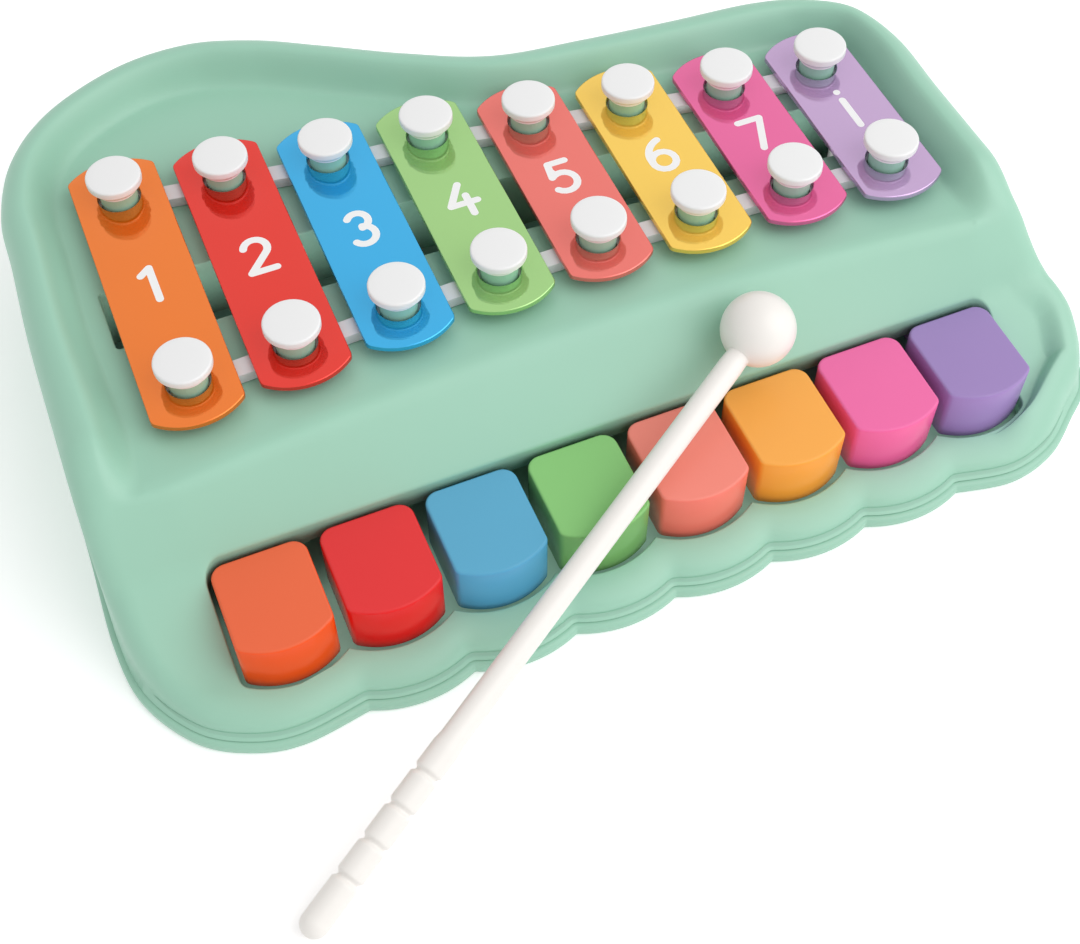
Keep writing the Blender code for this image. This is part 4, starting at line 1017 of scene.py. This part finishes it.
def add_base(mint):
    """The base plate: its edge, which shows as a step round the foot, its ribs and its sunk screw cups."""
    skin = Skin()
    points = outline_points()
    foot_round = BASE_ROUND / 2
    rings = edge_rings(points, foot_round, foot_round, (-90, -45, 0), EDGE_INSET)
    rings += edge_rings(points, BASE_ROUND, BASE_EDGE - BASE_ROUND, (0, 30, 60, 90), EDGE_INSET)
    border = offset_outline(points, BASE_BORDER)
    rings += [level(border, height) for height in (BASE_EDGE, BASE_FLOOR)]
    low, high = skin.stack(rings)
    floor_holes, foot_holes = [], []
    for place in screw_places():
        outer = SCREW_CUP_RADIUS + SCREW_CUP_WALL
        profile = [(outer, BASE_FLOOR), (outer, SCREW_CUP_TOP), (SCREW_HOLE_RADIUS, SCREW_CUP_TOP)]
        profile += [(SCREW_HOLE_RADIUS, SCREW_CUP_DEPTH), (SCREW_CUP_RADIUS, SCREW_CUP_DEPTH)]
        profile += [(SCREW_CUP_RADIUS, foot_round), (SCREW_CUP_RADIUS + foot_round, 0)]
        cup = [level(circle(radius, ROUND_SIDES, place), height) for radius, height in profile]
        first, last = skin.stack(cup)
        floor_holes.append(first)
        foot_holes.append(last)
    skin.fill(high, floor_holes, lambda x, y: BASE_FLOOR)
    skin.fill(low, foot_holes, lambda x, y: 0, up=False)
    add_ribs(skin)
    skin.piece("base_and_cups", [mint], "body", replaces=["base_plate"])


# Numbers printed on the bars: the middle lines of their strokes, in shares of a number's height


def number_strokes(note):
    def turn(*numbers):
        return arc_by_degrees(*numbers, NUMBER_ARC_STEPS)

    strokes = {
        1: [[(-0.17, 0.30), (0.05, 0.47), (0.05, -0.47)]],
        2: [turn(0, 0.22, 0.26, 165, -40) + [(-0.27, -0.45), (0.29, -0.45)]],
        3: [turn(-0.02, 0.235, 0.235, 150, -80) + turn(-0.02, -0.205, 0.265, 80, -145)],
        4: [[(0.06, 0.47), (-0.30, -0.12), (0.32, -0.12)], [(0.12, 0.10), (0.12, -0.47)]],
        5: [[(0.24, 0.46), (-0.17, 0.46), (-0.22, 0.04)] + turn(-0.01, -0.16, 0.29, 135, -140)],
        6: [turn(0.32, -0.10, 0.60, 110, 172) + turn(0, -0.19, 0.275, 175, 540)],
        7: [[(-0.27, 0.45), (0.27, 0.45), (-0.06, -0.47)]],
        8: [[(0, 0.40), (0, -0.47)], [(0, 0.68), (0.002, 0.681)]],
    }
    return strokes[note]


def placed_strokes(note):
    front, back = bar_ends(note)
    middle = (front + back) / 2
    return [
        [(x * NUMBER_HEIGHT, middle + y * NUMBER_HEIGHT) for x, y in stroke]
        for stroke in number_strokes(note)
    ]


def distance_to(point, line):
    best = math.inf
    for one, two in zip(line, line[1:]):
        a, b = Vector(one), Vector(two)
        along = b - a
        share = clamped((point - a).dot(along) / along.length_squared)
        best = min(best, (a + along * share - point).length)
    return best


def stroke_outline(line):
    """The outline of a stroke with round ends and round outer corners."""
    half = NUMBER_STROKE / 2
    outline = []
    for path in (line, line[::-1]):
        for i, point in enumerate(path[:-1]):
            after = path[i + 1]
            angle = math.atan2(after[1] - point[1], after[0] - point[0])
            start = angle - math.pi / 2
            if i == 0:
                outline += arc(point, half, start - math.pi, start, STROKE_END_STEPS)
                continue
            before = path[i - 1]
            old = math.atan2(point[1] - before[1], point[0] - before[0]) - math.pi / 2
            turn = (start - old + math.pi) % (2 * math.pi) - math.pi
            if turn > STROKE_CORNER_LEAST:
                outline += arc(point, half, old, old + turn, CORNER_STEPS)
            else:
                middle = old + turn / 2
                outline += arc(point, half / math.cos(turn / 2), middle, middle, 1)[:1]
    return outline


def add_bar(note, paint, white):
    skin = Skin()
    front, back = bar_ends(note)
    half = BAR_WIDTH / 2
    outline = shallow_arc((-half, front), (half, front), BAR_END_BULGE, BAR_END_STEPS)
    outline += shallow_arc((half, back), (-half, back), BAR_END_BULGE, BAR_END_STEPS)
    outline = round_corners(outline, BAR_CORNER_RADIUS, CORNER_STEPS)
    outline = spaced(offset_outline(outline, EDGE_INSET), BAR_EDGE_STEP)
    edge = BAR_TOP - BAR_EDGE_ROUND
    rings = edge_rings(outline, BAR_EDGE_ROUND, BAR_BOTTOM + BAR_EDGE_ROUND, (-90, 0))
    rings += edge_rings(outline, BAR_EDGE_ROUND, edge, (0, 30, 60, 90))
    low, high = skin.stack(rings)
    upper, lower = [], []
    for _, y in post_places(note):
        rim = BAR_HOLE_RADIUS + BAR_EDGE_ROUND
        profile = arc_by_degrees(rim, edge, BAR_EDGE_ROUND, 90, 180, HOLE_EDGE_STEPS)
        profile.append((BAR_HOLE_RADIUS, BAR_BOTTOM))
        rows = [level(circle(radius, HOLE_SIDES, (0, y)), height) for radius, height in profile]
        first, last = skin.stack(rows)
        upper.append(first)
        lower.append(last)
    strokes = placed_strokes(note)
    lines = [stroke_outline(stroke) for stroke in strokes]

    def mark_at(point):
        printed = any(distance_to(point, stroke) < NUMBER_STROKE / 2 for stroke in strokes)
        return 1 if printed else 0

    skin.fill(high, upper, lambda x, y: BAR_TOP, lines=lines, mark_at=mark_at)
    skin.fill(low, lower, lambda x, y: BAR_BOTTOM, up=False)
    name = "bar_%d_%s" % (note, COLOR_NAMES[note - 1])
    place = (bar_x(note), 0, 0)
    skin.piece(name, [paint, white], "body", place, replaces=["bar_" + str(note)])


def cap_profile():
    low = POST_TOP + SEAT_GAP
    flare = low + CAP_COLLAR_HEIGHT
    edge = flare + CAP_FLARE_HEIGHT
    top = edge + CAP_EDGE_HEIGHT
    collar = POST_RADIUS + CAP_COLLAR_LIP
    flat = CAP_RADIUS - CAP_EDGE_ROUND
    out = collar + (CAP_RADIUS - collar) * CAP_FLARE_OUT_SHARE
    profile = [(0, low), (collar, low), (collar, flare)]
    profile += [(out, flare + CAP_FLARE_HEIGHT * CAP_FLARE_UP_SHARE)]
    lip = (CAP_RADIUS - CAP_LIP_ROUND, edge + CAP_LIP_ROUND, CAP_LIP_ROUND)
    profile += arc_by_degrees(*lip, CAP_LIP_START, 0, CAP_LIP_STEPS)
    profile += arc_by_degrees(flat, top - CAP_EDGE_ROUND, CAP_EDGE_ROUND, 0, CAP_ROUND_END, CAP_ROUND_STEPS)
    for share in CAP_TOP_SHARES:
        profile.append((flat * share, top + CAP_DOME * (1 - share * share)))
    return profile + [(0, top + CAP_DOME)]


def add_caps(white):
    for note in range(1, NOTES + 1):
        for side, place in zip(("front", "back"), post_places(note)):
            skin = Skin()
            turned(skin, cap_profile(), FINE_ROUND_SIDES)
            name = "cap_%s_%d" % (side, note)
            skin.piece("white_" + name, [white], "body", (*place, 0), replaces=[name])


def key_outline():
    """A key's plan about its own centre line. The front is a shallow arc."""
    half = KEY_WIDTH / 2 - EDGE_INSET
    back = KEY_BACK_Y - EDGE_INSET
    front = KEY_CORNER_Y + EDGE_INSET
    corners = [(half, back), (-half, back)]
    corners += shallow_arc((-half, front), (half, front), KEY_FRONT_BULGE, KEY_FRONT_STEPS)
    return spaced(round_corners(corners, KEY_CORNER_RADIUS - EDGE_INSET, WIDE_CORNER_STEPS), KEY_EDGE_STEP)


def add_key(note, plastic):
    skin = Skin()
    outline = key_outline()
    inside = offset_outline(outline, KEY_WALL)
    rings = [level(inside, KEY_SKIRT_HEIGHT)]
    rings += edge_rings(outline, KEY_FOOT_ROUND, KEY_SKIRT_HEIGHT + KEY_FOOT_ROUND, (-90, -45, 0))
    rings += edge_rings(outline, KEY_EDGE_ROUND, KEY_TOP_HEIGHT - KEY_EDGE_ROUND, range(0, 91, 15))
    low, high = skin.stack(rings)
    ceiling = skin.ring(level(inside, KEY_TOP_HEIGHT - KEY_WALL))
    skin.bridge(ceiling, low)
    skin.fill(high, [], lambda x, y: KEY_TOP_HEIGHT)
    skin.fill(ceiling, [], lambda x, y: KEY_TOP_HEIGHT - KEY_WALL, up=False)
    add_lever(skin, note)
    name = "key_%d_%s" % (note, COLOR_NAMES[note - 1])
    body = "key_action_" + str(note)
    skin.piece(name, [plastic], body, (key_x(note), 0, 0), replaces=["key_" + str(note)])


def add_lever(skin, note):
    """The lever behind the key, which carries the hammer."""
    half = LEVER_WIDTH / 2
    aside = bar_x(note) - key_x(note)
    front = KEY_BACK_Y - KEY_SIDE_LENGTH * LEVER_REACH_SHARE
    back = slot_middle(bar_x(note)) + HAMMER_LEAD + LEVER_TAIL
    outline = [(half, front), (half, KEY_BACK_Y), (aside + half, back), (aside - half, back)]
    outline += [(-half, KEY_BACK_Y), (-half, front)]
    low, high = AXLE_HEIGHT - LEVER_THICK / 2, AXLE_HEIGHT + LEVER_THICK / 2
    first, last = skin.stack([level(outline, low), level(outline, high)])
    skin.fill(last, [], lambda x, y: high)
    skin.fill(first, [], lambda x, y: low, up=False)


def mallet_matrix():
    """Where the middle of the mallet's round end is, and how it lies: its own +Z runs to the head."""
    low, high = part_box("mallet_head")
    head = (low + high) / 2
    end = Vector((-MALLET_END_SIDE, LOBE_FRONT_Y - MALLET_END_AHEAD, MALLET_GRIP_RADIUS + SEAT_GAP))
    turn = (head - end).to_track_quat("Z", "Y").to_matrix().to_4x4()
    return Matrix.Translation(end) @ turn


def grip_radius(along):
    """The radius of the grip, with soft grooves round it."""
    pitch = MALLET_GRIP_LENGTH / (MALLET_GROOVES + 1)
    depth = 0
    for groove in range(MALLET_GROOVES):
        away = abs(along - pitch * (groove + MALLET_GROOVE_START)) / (MALLET_GROOVE_WIDTH / 2)
        if away < 1:
            depth = MALLET_GROOVE_DEPTH * (1 + math.cos(math.pi * away)) / 2
    return MALLET_GRIP_RADIUS - EDGE_INSET / 2 - depth


def add_mallet(plastic):
    skin = Skin()
    end = MALLET_GRIP_RADIUS - EDGE_INSET / 2
    profile = arc_by_degrees(0, 0, end, -90, 0, MALLET_END_STEPS)
    profile[0] = (0, -end)
    steps = math.ceil(MALLET_GRIP_LENGTH / MALLET_STEP)
    for step in range(1, steps + 1):
        along = MALLET_GRIP_LENGTH * step / steps
        profile.append((grip_radius(along), along))
    neck = MALLET_LENGTH - MALLET_HEAD_RADIUS - SEAT_GAP
    thick = MALLET_STICK_RADIUS - EDGE_INSET / 2
    profile.append((thick, MALLET_GRIP_LENGTH + MALLET_GROOVE_WIDTH))
    for share in MALLET_STICK_SHARES:
        profile.append((thick, MALLET_GRIP_LENGTH + (neck - MALLET_GRIP_LENGTH) * share))
    profile += [(thick, neck - MALLET_GROOVE_WIDTH), (MALLET_NECK_RADIUS, neck)]
    profile += [(MALLET_NECK_RADIUS, MALLET_LENGTH), (0, MALLET_LENGTH)]
    turned(skin, profile, ROUND_SIDES)
    lie = mallet_matrix()
    skin.piece("white_mallet_stick", [plastic], "mallet", matrix=lie, replaces=["mallet_stick"])
    skin = Skin()
    radius = MALLET_HEAD_RADIUS - EDGE_INSET / 2
    profile = arc_by_degrees(0, 0, radius, -90, 90, MALLET_HEAD_STEPS)
    profile[0], profile[-1] = (0, -radius), (0, radius)
    turned(skin, profile, FINE_ROUND_SIDES)
    lie = lie @ Matrix.Translation((0, 0, MALLET_LENGTH))
    skin.piece("white_mallet_head", [plastic], "mallet", matrix=lie, replaces=["mallet_head"])


def paint_carried(rail, white, steel):
    """Gives the nodes that are shown as they come from the frame a material each."""
    kinds = {"rail_": rail, "hammer_": white, "key_axle": steel, "base_screw_": steel}
    for obj in bpy.data.objects:
        for start, made in kinds.items():
            if obj.type == "MESH" and obj.name.startswith(start):
                obj.data.materials.clear()
                obj.data.materials.append(made)


def place_light(name, location, target, energy, size):
    data = bpy.data.lights.new(name, "AREA")
    data.energy = energy
    data.size = size
    light = add_object(name, data)
    light.location = location
    way = Vector(target) - Vector(location)
    light.rotation_euler = way.to_track_quat("-Z", "Y").to_euler()
    return light


def strip_end(x):
    return Vector((x, slot_middle(x) - SLOT_WIDTH * STRIP_SHARE, TRAY_HEIGHT - STRIP_DROP))


def light_inside():
    """Weak lights under the tray's front edge and under the keys, so that the openings don't go black."""
    bend = SLOT_BEND_SHARE * SLOT_REACH
    for start, end in ((-SLOT_REACH, bend), (bend, SLOT_REACH - SLOT_RIGHT_LOSS)):
        one, two = strip_end(start), strip_end(end)
        middle = (one + two) / 2
        target = (middle.x, middle.y + SLOT_WIDTH, middle.z - STRIP_DROP)
        length = (two - one).length
        place_flat_light("Strip under the tray", middle, target, STRIP_POWER * length, (length, STRIP_DROP))
    size = (2 * WELL_HALF, KEY_BACK_Y - WELL_FRONT_Y)
    center = (KEY_ROW_SHIFT, (KEY_BACK_Y + WELL_FRONT_Y) / 2, KEY_SKIRT_HEIGHT - SKIRT_CLEARANCE)
    power = STRIP_POWER * size[0] * FLOOR_LIGHT_SHARE
    place_flat_light("Under the keys", center, (*center[:2], 0), power, size)


def place_flat_light(name, location, target, energy, size):
    length, width = size
    light = place_light(name, location, target, energy, length)
    light.data.shape = "RECTANGLE"
    light.data.size_y = width
    light.visible_camera = False


def set_camera():
    data = bpy.data.cameras.new("Camera")
    data.sensor_width = SENSOR_WIDTH
    data.lens = CAMERA_LENS
    camera = add_object("Camera", data)
    camera.location = CAMERA_PLACE
    camera.rotation_euler = CAMERA_TURN
    bpy.context.scene.camera = camera


def brighter_where_seen(owner, lighting, seen, shader, socket):
    """Gives a strength one value for lighting and another for the camera, gloss and glass."""
    path = add_node(owner, "ShaderNodeLightPath")
    most = add_node(owner, "ShaderNodeMath", operation="MAXIMUM")
    both = add_node(owner, "ShaderNodeMath", operation="MAXIMUM")
    spread = add_node(owner, "ShaderNodeMapRange", To_Min=lighting, To_Max=seen)
    join(owner, path, "Is Camera Ray", most, 0)
    join(owner, path, "Is Glossy Ray", most, 1)
    join(owner, most, 0, both, 0)
    join(owner, path, "Is Transmission Ray", both, 1)
    join(owner, both, 0, spread, "Value")
    join(owner, spread, "Result", shader, socket)


def set_world(strength, seen):
    """Soft white light all round, with a plain white background for the camera and for reflections."""
    world = bpy.data.worlds.new("World")
    bpy.context.scene.world = world
    world.use_nodes = True
    background = world.node_tree.nodes["Background"]
    background.inputs["Color"].default_value = (1, 1, 1, 1)
    brighter_where_seen(world, strength, seen, background, "Strength")


def add_floor():
    corners = rectangle((-FLOOR_SIZE, -FLOOR_SIZE), (FLOOR_SIZE, FLOOR_SIZE))
    mesh = bpy.data.meshes.new("Floor")
    mesh.from_pydata(level(corners, 0), [], [(0, 1, 2, 3)])
    made = finish("Floor white", (1, 1, 1), FLOOR_ROUGHNESS)
    shader_of(made).inputs["Emission Color"].default_value = (1, 1, 1, 1)
    brighter_where_seen(made, FLOOR_GLOW, FLOOR_SEEN, shader_of(made), "Emission Strength")
    mesh.materials.append(made)
    floor = add_object("floor", mesh)


def main():
    mint = moulded("Mint plastic", MINT, MINT_ROUGHNESS)
    add_shell(mint)
    add_posts(mint)
    add_base(mint)
    white = moulded("White cap plastic", WHITE, WHITE_ROUGHNESS)
    print_white = moulded("White print", PRINT_WHITE, PRINT_ROUGHNESS)
    for note in range(1, NOTES + 1):
        color = COLOR_NAMES[note - 1]
        add_bar(note, painted("Bar paint " + color, BAR_COLORS[note - 1]), print_white)
        plastic = moulded("Key plastic " + color, KEY_SHEENED_TOP_COLORS[note - 1], KEY_ROUGHNESS, KEY_IOR)
        # Painted sheen: the key's top keeps its lighter, hazier colour, and its upright sides take the
        # purer one, by how far the surface leans.
        deeper_sides(plastic, KEY_UNSHEENED_SIDE_COLORS[note - 1])
        add_key(note, plastic)
    add_caps(white)
    add_mallet(moulded("Warm white plastic", WARM_WHITE, WHITE_ROUGHNESS))
    rail = moulded("Rail plastic", RAIL_GREY, RAIL_ROUGHNESS)
    paint_carried(rail, white, brushed("Plated steel", STEEL))
    set_camera()
    set_world(SKY_LIGHT, SKY_SEEN)
    place_light("Soft light", LIGHT_PLACE, (0, 0, 0), LIGHT_POWER, LIGHT_SIZE)
    light_inside()
    add_floor()
    bpy.context.scene.view_settings.view_transform = "Standard"


main()
